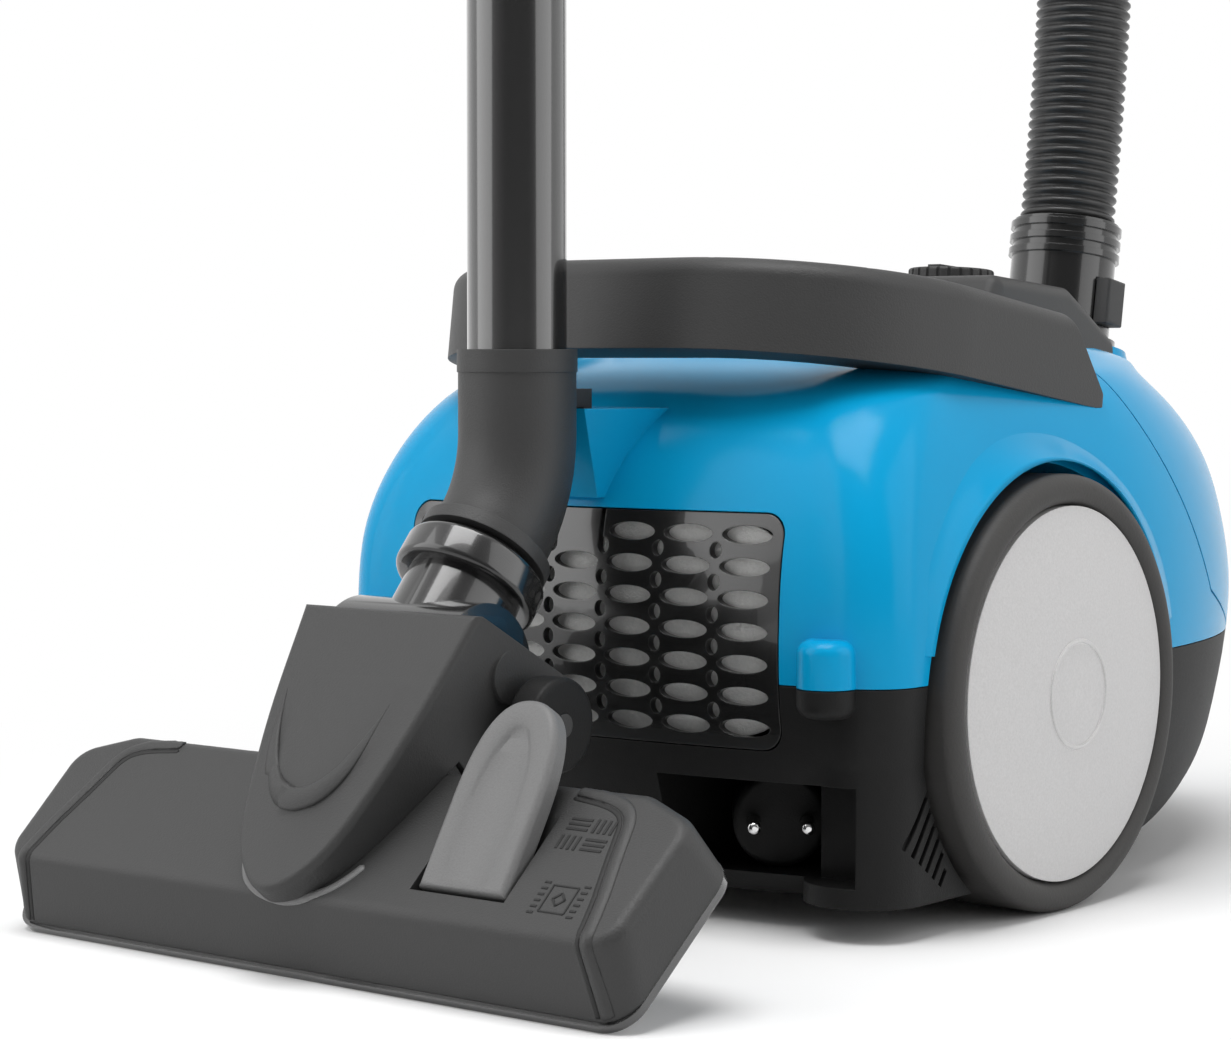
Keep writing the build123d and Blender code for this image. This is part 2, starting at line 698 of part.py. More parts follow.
# Nose latch: a finger plate outside the lid on a stem that slides in the lid's slot
with BuildPart() as lid_latch:
    with BuildSketch(rear(BODY_NOSE + LATCH_PLAY)):
        with Locations((0, LATCH_Z)):
            RectangleRounded(LATCH_PLATE_W, LATCH_PLATE_H, 4)
    extrude(amount=-LATCH_PLATE_T)
    fillet(lid_latch.faces().sort_by(Axis.Y)[-1].edges(), 1.5)
    with Locations(at(0, BODY_NOSE + LATCH_PLAY, LATCH_Z - LATCH_TRAVEL / 2)):
        Box(LATCH_STEM_W, LATCH_REACH, LATCH_STEM_H, align=(Align.CENTER, Align.MAX, Align.CENTER))
keep(lid_latch, "lid_latch")

# Rubber seal inside the rim of the base, under the lid's edge
with BuildPart() as lid_seal:
    add(hull(WALL + SEAT_GAP))
    add(hull(WALL + SEAL_T), mode=Mode.SUBTRACT)
    with Locations(at(0, LID_FOOT_Y + FAR / 2, SPLIT_Z)):
        Box(FAR, FAR, SEAL_H, mode=Mode.INTERSECT)
keep(lid_seal, "lid_seal")

# Black cap on the lid: a hump behind the inlet that carries the dial
with BuildPart() as lid_cap:
    with BuildSketch(side(-CAP_HALF_W)):
        Polygon(*CAP_SIDE, align=None)
    extrude(amount=2 * CAP_HALF_W)
    with BuildSketch(level(TOP_Z - 30)):
        Polygon((-CAP_HALF_W, CAP_SIDE[0][0]), (CAP_HALF_W, CAP_SIDE[0][0]),
                (CAP_FRONT_HALF_W, CAP_SIDE[-1][0]), (-CAP_FRONT_HALF_W, CAP_SIDE[-1][0]), align=None)
    extrude(amount=100, mode=Mode.INTERSECT)
    fillet(lid_cap.edges().filter_by_position(Axis.Z, TOP_Z + 1, TOP_Z + 60), CAP_ROUND)
    add(outer, mode=Mode.SUBTRACT)
    with Locations(INLET):
        Cylinder(BOSS_R + 2, FAR / 2, mode=Mode.SUBTRACT)
    add(inlet_boss.part, mode=Mode.SUBTRACT)
    with Locations(DIAL):
        Cylinder(DIAL_SHAFT_R + RUN_CLEARANCE, 4 * DIAL_H, mode=Mode.SUBTRACT)
    with Locations(at(0, (CAP_HOLLOW_Y0 + CAP_HOLLOW_Y1) / 2, TOP_Z)):
        Box(2 * CAP_HOLLOW_HALF_W, CAP_HOLLOW_Y1 - CAP_HOLLOW_Y0, 2 * CAP_HOLLOW_H, mode=Mode.SUBTRACT)
keep(lid_cap, "lid_cap")

with BuildPart() as suction_dial:
    with Locations(DIAL):
        with Locations((0, 0, DIAL_SEAT)):
            Cylinder(DIAL_R, DIAL_H, align=(Align.CENTER, Align.CENTER, Align.MIN))
    fillet(suction_dial.edges().group_by(Axis.Z)[-1], 1.2)
    with Locations(DIAL):
        with Locations((0, 0, DIAL_SEAT + DIAL_H)):
            Cylinder(DIAL_R - 4, 2, mode=Mode.SUBTRACT)
            Box(6, 2 * DIAL_R - 9, 2.4)
        with PolarLocations(DIAL_R, 24):
            with Locations((0, 0, DIAL_SEAT + DIAL_H / 2)):
                Cylinder(0.8, DIAL_H + 2, mode=Mode.SUBTRACT)
        Cylinder(DIAL_SHAFT_R, DIAL_H, align=(Align.CENTER, Align.CENTER, Align.CENTER))
keep(suction_dial, "suction_dial")

# Exhaust grille: a piece of the body's own rear skin with rows of oval slots and a spring tab at the top
with BuildPart() as exhaust_grille:
    add(outer)
    add(inner, mode=Mode.SUBTRACT)
    with BuildSketch(rear(-60)):
        with Locations((0, grille_z)):
            RectangleRounded(grille_w, grille_h, GRILLE_CORNER)
    extrude(amount=90, mode=Mode.INTERSECT)
    with BuildSketch(rear(-60)):
        with Locations((0, grille_z)):
            with GridLocations(SLOT_PITCH_X, SLOT_PITCH_Z, SLOT_COLUMNS, SLOT_ROWS):
                Ellipse(SLOT_HALF_W, SLOT_HALF_H)
            with GridLocations(SLOT_PITCH_X, SLOT_PITCH_Z, SLOT_COLUMNS - 1, SLOT_ROWS - 1):
                Ellipse(DOT_HALF_W, DOT_HALF_H)
        with Locations((0, (GRILLE_TOP_Z + LATCH_LOW_Z) / 2)):
            Rectangle(2 * LATCH_HALF_W, GRILLE_TOP_Z - LATCH_LOW_Z + 1, mode=Mode.SUBTRACT)
        with Locations((LATCH_HALF_W - 1, (GRILLE_TOP_Z + LATCH_LOW_Z) / 2),
                       (1 - LATCH_HALF_W, (GRILLE_TOP_Z + LATCH_LOW_Z) / 2)):
            Rectangle(2, GRILLE_TOP_Z - LATCH_LOW_Z + 1)
    extrude(amount=90, mode=Mode.SUBTRACT)
keep(exhaust_grille, "exhaust_grille")

# White fleece behind the grille
with BuildPart() as exhaust_filter:
    add(hull(WALL + SEAT_GAP))
    add(hull(WALL + FLEECE), mode=Mode.SUBTRACT)
    with BuildSketch(rear(-60)):
        with Locations((0, grille_z)):
            RectangleRounded(grille_w - 4, grille_h - 4, GRILLE_CORNER)
    extrude(amount=90, mode=Mode.INTERSECT)
keep(exhaust_filter, "exhaust_filter")

# Top panel and its two foot pedals
with BuildPart() as top_panel:
    with BuildSketch(level(TOP_Z)):
        with Locations((0, (PANEL_REAR_Y + PANEL_FRONT_Y) / 2)):
            RectangleRounded(2 * PANEL_HALF_W, PANEL_FRONT_Y - PANEL_REAR_Y, PANEL_CORNER)
    extrude(amount=PANEL_T)
    fillet(top_panel.faces().sort_by(Axis.Z)[-1].edges(), 2.5)
    with BuildSketch(level(TOP_Z)):
        with Locations((-FOOT_X, FOOT_Y), (FOOT_X, FOOT_Y)):
            RectangleRounded(FOOT_W + 2 * FOOT_PLAY, FOOT_L + 2 * FOOT_PLAY, FOOT_CORNER + FOOT_PLAY)
    extrude(amount=PANEL_T, mode=Mode.SUBTRACT)
keep(top_panel, "top_panel")


def foot_pedal(x):
    """A press pedal with a crowned, rounded top, standing in its hole of the top panel."""
    with BuildPart() as pedal:
        with BuildSketch(level(TOP_Z + FOOT_TRAVEL + FOOT_PLAY)):
            with Locations((x, FOOT_Y)):
                RectangleRounded(FOOT_W, FOOT_L, FOOT_CORNER)
        extrude(amount=FOOT_TOP_Z - TOP_Z - FOOT_TRAVEL - FOOT_PLAY)
        fillet(pedal.faces().sort_by(Axis.Z)[-1].edges(), 4)
    return pedal


power_pedal = foot_pedal(-FOOT_X)
keep(power_pedal, "power_pedal")
rewind_pedal = foot_pedal(FOOT_X)
keep(rewind_pedal, "rewind_pedal")

# Carry handle: a horseshoe band over the rear of the body
with BuildPart() as carry_handle:
    band_in = HANDLE_HALF_W - HANDLE_BAND
    with BuildSketch(HANDLE):
        with BuildLine():
            FilletPolyline(
                (HANDLE_HALF_W, HANDLE_LENGTH), (HANDLE_HALF_W, 0), (-HANDLE_HALF_W, 0),
                (-HANDLE_HALF_W, HANDLE_LENGTH), (-band_in, HANDLE_LENGTH), (-band_in, HANDLE_BAND),
                (band_in, HANDLE_BAND), (band_in, HANDLE_LENGTH),
                radius=[3, HANDLE_CORNER, HANDLE_CORNER, 3, 3, HANDLE_CORNER - HANDLE_BAND,
                        HANDLE_CORNER - HANDLE_BAND, 3], close=True,
            )
        make_face()
    extrude(amount=HANDLE_HEIGHT)
    fillet(carry_handle.faces().sort_by(SortBy.AREA)[-1].edges(), HANDLE_ROUND)
    add(outer, mode=Mode.SUBTRACT)
    with BuildSketch(side(-FAR / 2)):
        Polygon(HANDLE_END_LOW, HANDLE_END_TOP, (HANDLE_END_TOP[0], FAR), (FAR, FAR),
                (FAR, HANDLE_END_LOW[1]), align=None)
    extrude(amount=FAR, mode=Mode.SUBTRACT)
keep(carry_handle, "carry_handle")


# Rear wheels: hand is 1 on the right and -1 on the left
def tyre(hand):
    """Rubber tyre with a rounded tread."""
    with BuildPart() as ring:
        with BuildSketch(level(WHEEL_R)):
            with Locations((hand * (TYRE_IN_X + TYRE_OUT_X) / 2, (WHEEL_R + TYRE_INNER_R) / 2)):
                RectangleRounded(TYRE_OUT_X - TYRE_IN_X, WHEEL_R - TYRE_INNER_R, TYRE_ROUND)
        revolve(axis=WHEEL_AXIS)
    return ring


def wheel_disc(hand):
    """Domed wheel cover with its drum and hub, turned about X and then set on the axle."""
    rim = TYRE_OUT_X - DISC_SET_BACK
    hub = AXLE_R + RUN_CLEARANCE
    dome_r = (DISC_R ** 2 + DISC_DOME ** 2) / (2 * DISC_DOME)
    half_turn = atan2(DISC_R, dome_r - DISC_DOME) / 2
    mid_x = rim + DISC_DOME - dome_r + dome_r * cos(half_turn)
    with BuildPart() as turned:
        with BuildSketch(Plane.XY):
            with BuildLine():
                Polyline(
                    (hand * (AXLE_OUT_X + 1), 0), (hand * (AXLE_OUT_X + 1), hub), (hand * HUB_IN_X, hub),
                    (hand * HUB_IN_X, 2 * AXLE_R), (hand * (rim - DISC_SKIN), 2 * AXLE_R),
                    (hand * (rim - DISC_SKIN), DISC_R - DISC_SKIN),
                    (hand * (TYRE_IN_X + 4), DISC_R - DISC_SKIN), (hand * (TYRE_IN_X + 4), DISC_R),
                    (hand * rim, DISC_R),
                )
                ThreePointArc((hand * rim, DISC_R), (hand * mid_x, dome_r * sin(half_turn)),
                              (hand * (rim + DISC_DOME), 0))
                Line((hand * (rim + DISC_DOME), 0), (hand * (AXLE_OUT_X + 1), 0))
            make_face()
        revolve(axis=Axis.X)
        ring_x = rim + DISC_DOME - dome_r + sqrt(dome_r ** 2 - DISC_RING_R ** 2)
        with Locations((hand * ring_x, 0, 0)):
            Torus(DISC_RING_R, DISC_RING_T, rotation=(0, 90, 0))
    with BuildPart() as disc:
        with Locations(at(0, 0, WHEEL_R)):
            add(turned.part)
    return disc


def axle_stub(hand):
    """Steel stub on the wall of the wheel well."""
    with BuildPart() as stub:
        with Locations(at(hand * WELL_X, 0, WHEEL_R)):
            Cylinder(AXLE_R, AXLE_OUT_X - WELL_X, rotation=(0, 90 * hand, 0),
                     align=(Align.CENTER, Align.CENTER, Align.MIN))
            Cylinder(2 * AXLE_R, 3, rotation=(0, 90 * hand, 0), align=(Align.CENTER, Align.CENTER, Align.MIN))
    return stub


WHEEL_AXIS = Axis((0, AXLE_Y, WHEEL_R), (1, 0, 0))
for hand, word in ((1, "right"), (-1, "left")):
    keep(tyre(hand), f"{word}_tyre")
    keep(wheel_disc(hand), f"{word}_wheel_disc")
    keep(axle_stub(hand), f"{word}_axle_stub")

# Caster under the nose
with BuildPart() as caster_fork:
    with Locations(at(0, CASTER_Y, CASTER_ROOF_Z - 1)):
        Cylinder(CASTER_POCKET_R - 12, 4, align=(Align.CENTER, Align.CENTER, Align.MAX))
        Cylinder(CASTER_STEM_R, CASTER_STEM_TOP - CASTER_ROOF_Z,
                 align=(Align.CENTER, Align.CENTER, Align.MIN))
    cheek_x = CASTER_WHEEL_W / 2 + 1 + CASTER_CHEEK / 2
    cheek_y = CASTER_Y - CASTER_TRAIL / 2
    cheek_low = CASTER_WHEEL_R - 5
    with Locations(at(cheek_x, cheek_y, cheek_low), at(-cheek_x, cheek_y, cheek_low)):
        Box(CASTER_CHEEK, CASTER_TRAIL + 12, CASTER_ROOF_Z - 2 - cheek_low,
            align=(Align.CENTER, Align.CENTER, Align.MIN))
    with Locations(at(0, CASTER_Y - CASTER_TRAIL, CASTER_WHEEL_R)):
        Cylinder(CASTER_AXLE_R, 60, rotation=(0, 90, 0), mode=Mode.SUBTRACT)
keep(caster_fork, "caster_fork")

with BuildPart() as caster_wheel:
    with Locations(at(0, CASTER_Y - CASTER_TRAIL, CASTER_WHEEL_R)):
        Cylinder(CASTER_WHEEL_R, CASTER_WHEEL_W, rotation=(0, 90, 0))
    fillet(caster_wheel.edges().filter_by(GeomType.CIRCLE), 3)
    with Locations(at(0, CASTER_Y - CASTER_TRAIL, CASTER_WHEEL_R)):
        Cylinder(CASTER_AXLE_R + RUN_CLEARANCE, 60, rotation=(0, 90, 0), mode=Mode.SUBTRACT)
keep(caster_wheel, "caster_wheel")

with BuildPart() as caster_axle:
    with Locations(at(0, CASTER_Y - CASTER_TRAIL, CASTER_WHEEL_R)):
        Cylinder(CASTER_AXLE_R, CASTER_WHEEL_W + 2 + 2 * CASTER_CHEEK, rotation=(0, 90, 0))
keep(caster_axle, "caster_axle")

# Mains plug lying in the rear recess, pins pointing out to the rear and right
PLUG_TURN = radians(PLUG_YAW)
PLUG = Plane(
    (PLUG_TIP[0], AXLE_Y + PLUG_TIP[1], PLUG_TIP[2]),
    x_dir=(cos(PLUG_TURN), sin(PLUG_TURN), 0), z_dir=(sin(PLUG_TURN), -cos(PLUG_TURN), 0),
)
with BuildPart() as plug_body:
    with Locations(PLUG):
        with Locations((0, 0, -PIN_LENGTH)):
            Cylinder(PLUG_R, PLUG_LENGTH, align=(Align.CENTER, Align.CENTER, Align.MAX))
    fillet(plug_body.edges().filter_by(GeomType.CIRCLE), 2.5)
    with Locations(PLUG):
        with Locations((PIN_SPACING / 2, 0, -PIN_LENGTH), (-PIN_SPACING / 2, 0, -PIN_LENGTH)):
            Cylinder(PIN_R, 2 * PIN_ROOT, mode=Mode.SUBTRACT)
keep(plug_body, "plug_body")


with BuildPart() as plug_pins:
    with Locations(PLUG):
        for hand in (1, -1):
            with Locations((hand * PIN_SPACING / 2, 0, -PIN_LENGTH - PIN_ROOT)):
                Cylinder(PIN_R, PIN_LENGTH + PIN_ROOT, align=(Align.CENTER, Align.CENTER, Align.MIN))
    fillet(plug_pins.edges().filter_by(GeomType.CIRCLE).group_by(Axis(PLUG.origin, PLUG.z_dir))[-1], 1.8)
keep(plug_pins, "plug_pins")

# Hose connector standing in the inlet
with BuildPart() as hose_connector:
    with Locations(INLET):
        with Locations((0, 0, -COLLAR_DEPTH)):
            Cylinder(INLET_BORE_R - RUN_CLEARANCE, COLLAR_DEPTH + BOSS_HEIGHT + 2,
                     align=(Align.CENTER, Align.CENTER, Align.MIN))
        with Locations((0, 0, BOSS_HEIGHT + SEAT_GAP)):
            Cylinder(COLLAR_FLANGE_R, COLLAR_FLANGE_H, align=(Align.CENTER, Align.CENTER, Align.MIN))
        with Locations((0, 0, BOSS_HEIGHT + 2)):
            Cylinder(COLLAR_R, COLLAR_TOP - BOSS_HEIGHT - 2, align=(Align.CENTER, Align.CENTER, Align.MIN))
        for step in range(COLLAR_RIDGES):
            with Locations((0, 0, COLLAR_TOP - 3 - 6 * step)):
                Cylinder(COLLAR_R + 1.5, 3)
        Cylinder(COLLAR_BORE_R, 3 * COLLAR_TOP, mode=Mode.SUBTRACT)
        for hand in (1, -1):
            with Locations((hand * (TAB_SEAT_X + 15), 0, TAB_Z)):
                Box(30, TAB_W + 2 * TAB_PLAY, TAB_H + 2 * TAB_PLAY, mode=Mode.SUBTRACT)
keep(hose_connector, "hose_connector")


def release_tab(hand):
    """Press tab in the flank of the hose connector."""
    with BuildPart() as tab:
        with Locations(INLET):
            with Locations((hand * (TAB_SEAT_X + TAB_TRAVEL + TAB_REACH) / 2, 0, TAB_Z)):
                Box(TAB_REACH - TAB_SEAT_X - TAB_TRAVEL, TAB_W, TAB_H)
        fillet(tab.faces().sort_by(Axis.X)[-1 if hand > 0 else 0].edges(), 1.5)
    return tab


keep(release_tab(1), "right_release_tab")
keep(release_tab(-1), "left_release_tab")

# Ribbed hose: straight runs joined by tangent arcs, then a ruled loft through four circles for each rib
route = [(0, AXLE_Y + y, z) for y, z in HOSE_ROUTE]
hose_radii = []
for before, here, after in zip(route, route[1:], route[2:]):
    in_run = hypot(here[1] - before[1], here[2] - before[2])
    out_run = hypot(after[1] - here[1], after[2] - here[2])
    turn = atan2(after[2] - here[2], after[1] - here[1]) - atan2(here[2] - before[2], here[1] - before[1])
    turn = abs((turn + pi) % (2 * pi) - pi)
    hose_radii.append(0.45 * min(in_run, out_run) / tan(turn / 2))
with BuildLine() as hose_route:
    FilletPolyline(*route, radius=hose_radii)
hose_path = hose_route.wires()[0]
print("hose length", round(hose_path.length, 1), "bend radii", [round(r) for r in hose_radii])

rib_run = 1 / HOSE_RIBS
with BuildPart() as hose_form:
    for rib in range(HOSE_RIBS):
        for part_of_rib, radius in ((0.0, HOSE_ROOT_R), (0.25, HOSE_ROOT_R), (0.45, HOSE_R), (0.8, HOSE_R)):
            where = (rib + part_of_rib) * rib_run
            with BuildSketch(Plane(hose_path @ where, x_dir=(1, 0, 0), z_dir=hose_path % where)):
                Circle(radius)
    with BuildSketch(Plane(hose_path @ 1, x_dir=(1, 0, 0), z_dir=hose_path % 1)):
        Circle(HOSE_ROOT_R)
    loft(ruled=True)
with BuildPart() as hose_bore:
    with BuildSketch(Plane(hose_path @ 0, x_dir=(1, 0, 0), z_dir=hose_path % 0)):
        Circle(HOSE_BORE_R)
    sweep(path=hose_path)
with BuildPart() as hose:
    add(hose_form.part)
    add(hose_bore.part, mode=Mode.SUBTRACT)
keep(hose, "hose")
print("hose volume", round(hose.part.volume), "mean section", round(hose.part.volume / hose_path.length, 1))

# Elbow at the foot of the wand, with the park hook on its front
NECK_DOWN = Vector(0, -cos(NECK_UP), -sin(NECK_UP))
with BuildLine() as elbow_route:
    FilletPolyline((0, AXLE_Y + TUBE_Y, ELBOW_TOP_Z), (0, AXLE_Y + TUBE_Y, BEND_Z),
                   NECK.origin + NECK_DOWN * ELBOW_END, radius=ELBOW_BEND_R)
elbow_path = elbow_route.wires()[0]
with BuildPart() as elbow_bore:
    with BuildSketch(Plane(elbow_path @ 0, x_dir=(1, 0, 0), z_dir=elbow_path % 0)):
        Circle(ELBOW_BORE_R)
    sweep(path=elbow_path)
with BuildPart() as wand_elbow:
    with BuildSketch(Plane(elbow_path @ 0, x_dir=(1, 0, 0), z_dir=elbow_path % 0)):
        Circle(ELBOW_R)
    sweep(path=elbow_path)
    with Locations(at(0, TUBE_Y, ELBOW_TOP_Z)):
        Cylinder(ELBOW_R + ELBOW_LIP_STEP, ELBOW_LIP, align=(Align.CENTER, Align.CENTER, Align.MAX))
    hook_mid_y = (TUBE_Y + ELBOW_R - 4 + HOOK_FRONT_Y) / 2
    with Locations(at(0, hook_mid_y, SOCKET_TOP_Z + SEAT_GAP)):
        Box(2 * HOOK_HALF_W, HOOK_FRONT_Y - TUBE_Y - ELBOW_R + 4, HOOK_TOP_Z - SOCKET_TOP_Z - SEAT_GAP,
            align=(Align.CENTER, Align.CENTER, Align.MIN))
    with Locations(at(0, HOOK_FRONT_Y, HOOK_LOW_Z)):
        Box(2 * HOOK_HALF_W, HOOK_T, HOOK_TOP_Z - HOOK_LOW_Z, align=(Align.CENTER, Align.MAX, Align.MIN))
    with Locations(NECK):
        with Locations((0, 0, ELBOW_END)):
            Cylinder(ELBOW_FLANGE_R, ELBOW_FLANGE_T, align=(Align.CENTER, Align.CENTER, Align.MAX))
            Cylinder(SPIGOT_R, SPIGOT_END - ELBOW_END, align=(Align.CENTER, Align.CENTER, Align.MIN))
    add(elbow_bore.part, mode=Mode.SUBTRACT)
    with Locations(NECK):
        with Locations((0, 0, ELBOW_END)):
            Cylinder(ELBOW_BORE_R, 2 * SPIGOT_END, mode=Mode.SUBTRACT,
                     align=(Align.CENTER, Align.CENTER, Align.MIN))
    with Locations(at(0, TUBE_Y, TUBE_LOW_Z)):
        Cylinder(TUBE_R, 2 * ELBOW_TOP_Z, mode=Mode.SUBTRACT, align=(Align.CENTER, Align.CENTER, Align.MIN))
keep(wand_elbow, "wand_elbow")


def pipe(radius, wall, low, top):
    """Upright thin pipe on the wand's axis."""
    with BuildPart() as tube:
        with Locations(at(0, TUBE_Y, (low + top) / 2)):
            Cylinder(radius, top - low)
            Cylinder(radius - wall, top - low, mode=Mode.SUBTRACT)
    return tube


keep(pipe(TUBE_R, TUBE_WALL, TUBE_LOW_Z, TUBE_TOP_Z), "outer_tube")
keep(pipe(INNER_TUBE_R, TUBE_WALL, INNER_LOW_Z, INNER_TOP_Z), "inner_tube")

# Sleeve with the button that frees the telescope
with BuildPart() as lock_sleeve:
    with Locations(at(0, TUBE_Y, (SLEEVE_LOW_Z + SLEEVE_TOP_Z) / 2)):
        Cylinder(SLEEVE_R, SLEEVE_TOP_Z - SLEEVE_LOW_Z)
    fillet(lock_sleeve.edges().filter_by(GeomType.CIRCLE), 4)
    with Locations(at(0, TUBE_Y, TUBE_TOP_Z)):
        Cylinder(TUBE_R, FAR / 2, mode=Mode.SUBTRACT, align=(Align.CENTER, Align.CENTER, Align.MAX))
        Cylinder(INNER_TUBE_R + SEAT_GAP, FAR / 2, mode=Mode.SUBTRACT)
    with Locations(at(0, TUBE_Y - BUTTON_SEAT, BUTTON_Z)):
        Box(BUTTON_W + 2 * BUTTON_PLAY, 20, BUTTON_H + 2 * BUTTON_PLAY, mode=Mode.SUBTRACT,
            align=(Align.CENTER, Align.MAX, Align.CENTER))
keep(lock_sleeve, "lock_sleeve")

with BuildPart() as lock_button:
    with Locations(at(0, TUBE_Y - BUTTON_SEAT - BUTTON_TRAVEL, BUTTON_Z)):
        Box(BUTTON_W, BUTTON_T, BUTTON_H, align=(Align.CENTER, Align.MAX, Align.CENTER))
    fillet(lock_button.faces().sort_by(Axis.Y)[0].edges(), 1.5)
keep(lock_button, "lock_button")

# Bent grip at the wand's top
HOSE_END = Vector(0, AXLE_Y + HOSE_ROUTE[-1][0], HOSE_ROUTE[-1][1])
GRIP_DOWN = (HOSE_END - Vector(0, AXLE_Y + HOSE_ROUTE[-2][0], HOSE_ROUTE[-2][1])).normalized()
CUFF = Plane(HOSE_END, x_dir=(1, 0, 0), z_dir=GRIP_DOWN)
grip_end = HOSE_END + GRIP_DOWN * CUFF_LENGTH
grip_knee_z = grip_end.Z + (AXLE_Y + TUBE_Y - grip_end.Y) / GRIP_DOWN.Y * GRIP_DOWN.Z
with BuildLine() as grip_route:
    FilletPolyline((0, AXLE_Y + TUBE_Y, GRIP_LOW_Z), (0, AXLE_Y + TUBE_Y, grip_knee_z), grip_end,
                   radius=GRIP_BEND_R)
grip_path = grip_route.wires()[0]
with BuildPart() as grip_bore:
    with BuildSketch(Plane(grip_path @ 0, x_dir=(1, 0, 0), z_dir=grip_path % 0)):
        Circle(CUFF_SPIGOT_R + RUN_CLEARANCE)
    sweep(path=grip_path)
with BuildPart() as wand_handle:
    with BuildSketch(Plane(grip_path @ 0, x_dir=(1, 0, 0), z_dir=grip_path % 0)):
        Circle(GRIP_R)
    sweep(path=grip_path)
    add(grip_bore.part, mode=Mode.SUBTRACT)
    with Locations(at(0, TUBE_Y, INNER_TOP_Z)):
        Cylinder(INNER_TUBE_R, FAR / 2, mode=Mode.SUBTRACT, align=(Align.CENTER, Align.CENTER, Align.MAX))
    with Locations(at(0, TUBE_Y - GRIP_R, BLEED_Z)):
        Box(BLEED_W - 8, 12, BLEED_H - 10, mode=Mode.SUBTRACT)
keep(wand_handle, "wand_handle")

with BuildPart() as bleed_slider:
    with Locations(at(0, TUBE_Y - GRIP_R - SEAT_GAP, BLEED_Z)):
        Box(BLEED_W, BLEED_T, BLEED_H, align=(Align.CENTER, Align.MAX, Align.CENTER))
    fillet(bleed_slider.faces().sort_by(Axis.Y)[0].edges(), 1.2)
keep(bleed_slider, "bleed_slider")

with BuildPart() as hose_cuff:
    with Locations(CUFF):
        Cylinder(CUFF_R, CUFF_LENGTH - SEAT_GAP, align=(Align.CENTER, Align.CENTER, Align.MIN))
        Cylinder(CUFF_SPIGOT_R, CUFF_LENGTH + CUFF_SPIGOT, align=(Align.CENTER, Align.CENTER, Align.MIN))
        Cylinder(CUFF_SPIGOT_R - 2, 4 * CUFF_LENGTH, mode=Mode.SUBTRACT)
    fillet(hose_cuff.edges().filter_by(GeomType.CIRCLE).sort_by(SortBy.RADIUS)[-2:], 2.5)
keep(hose_cuff, "hose_cuff")

# Nozzle neck: a pipe that ends in a barrel on two trunnions
with BuildPart() as nozzle_neck:
    with Locations(NECK):
        with Locations((0, 0, ELBOW_END + SEAT_GAP)):
            Cylinder(NECK_R, BARREL_S - ELBOW_END, align=(Align.CENTER, Align.CENTER, Align.MIN))
        with Locations((0, 0, BARREL_S)):
            Cylinder(BARREL_R, 2 * BARREL_HALF_W, rotation=(0, 90, 0))
            Cylinder(TRUNNION_R, 2 * TRUNNION_X, rotation=(0, 90, 0))
        with Locations((0, 0, ELBOW_END)):
            Cylinder(SPIGOT_R + RUN_CLEARANCE, SPIGOT_END - ELBOW_END + SEAT_GAP, mode=Mode.SUBTRACT,
                     align=(Align.CENTER, Align.CENTER, Align.MIN))
            Cylinder(ELBOW_BORE_R, 2 * BARREL_S, mode=Mode.SUBTRACT,
                     align=(Align.CENTER, Align.CENTER, Align.MIN))
keep(nozzle_neck, "nozzle_neck")

with BuildPart() as swivel_ring:
    with Locations(NECK):
        with Locations((0, 0, RING_START)):
            Cylinder(RING_R, RING_END - RING_START, align=(Align.CENTER, Align.CENTER, Align.MIN))
    fillet(swivel_ring.edges().filter_by(GeomType.CIRCLE), 2.5)
    with Locations(NECK):
        Cylinder(NECK_R, 4 * BARREL_S, mode=Mode.SUBTRACT)
keep(swivel_ring, "swivel_ring")


def head_side(x):
    """Plane facing right in the nozzle frame: its axes are depth and height."""
    turn = radians(HEAD_TILT)
    return Plane((x, AXLE_Y + HEAD_FRONT_Y, 0), x_dir=(0, cos(turn), sin(turn)), z_dir=(1, 0, 0))


def head_outline(plane, inset, lean):
    """Plan of the nozzle head: a wide bar whose rear corners are cut off, its front moved back by lean."""
    half = HEAD_HALF_W - inset
    tail = HEAD_REAR_HALF_W - inset
    rear_u = HEAD_DEPTH - inset
    with BuildSketch(plane) as plan:
        with BuildLine():
            FilletPolyline(
                (-half, inset + lean), (half, inset + lean),
                (half + HEAD_FLARE, HEAD_SHOULDER), (tail, rear_u),
                (-tail, rear_u), (-half - HEAD_FLARE, HEAD_SHOULDER),
                radius=HEAD_CORNER, close=True,
            )
        make_face()
    return plan.sketch


def head_block(inset, top_n):
    """Solid of the nozzle head above its sole, up to height top_n, with a front that leans back."""
    share = SOLE_T / HEAD_H
    rise = top_n / HEAD_H
    with BuildPart() as block:
        foot = head_outline(HEAD.offset(SOLE_T), inset + share * HEAD_DRAW, share * HEAD_LEAN)
        top = head_outline(HEAD.offset(top_n), inset + rise * HEAD_DRAW, rise * HEAD_LEAN)
        loft([foot, top], ruled=True)
    return block.part


# Hood over the neck's barrel
HOOD = head_plane(*HOOD_MOUTH, HOOD_SLOPE)


def hood_block(sink, grow):
    """Solid of the hood from sink below its face, spreading as it goes down."""
    with BuildPart() as block:
        face = hood_outline(HOOD.offset(-sink), grow + HOOD_FLARE * sink / HOOD_DROP)
        foot = hood_outline(HOOD.offset(-HOOD_DROP), grow + HOOD_FLARE)
        loft([face, foot], ruled=True)
    return block.part


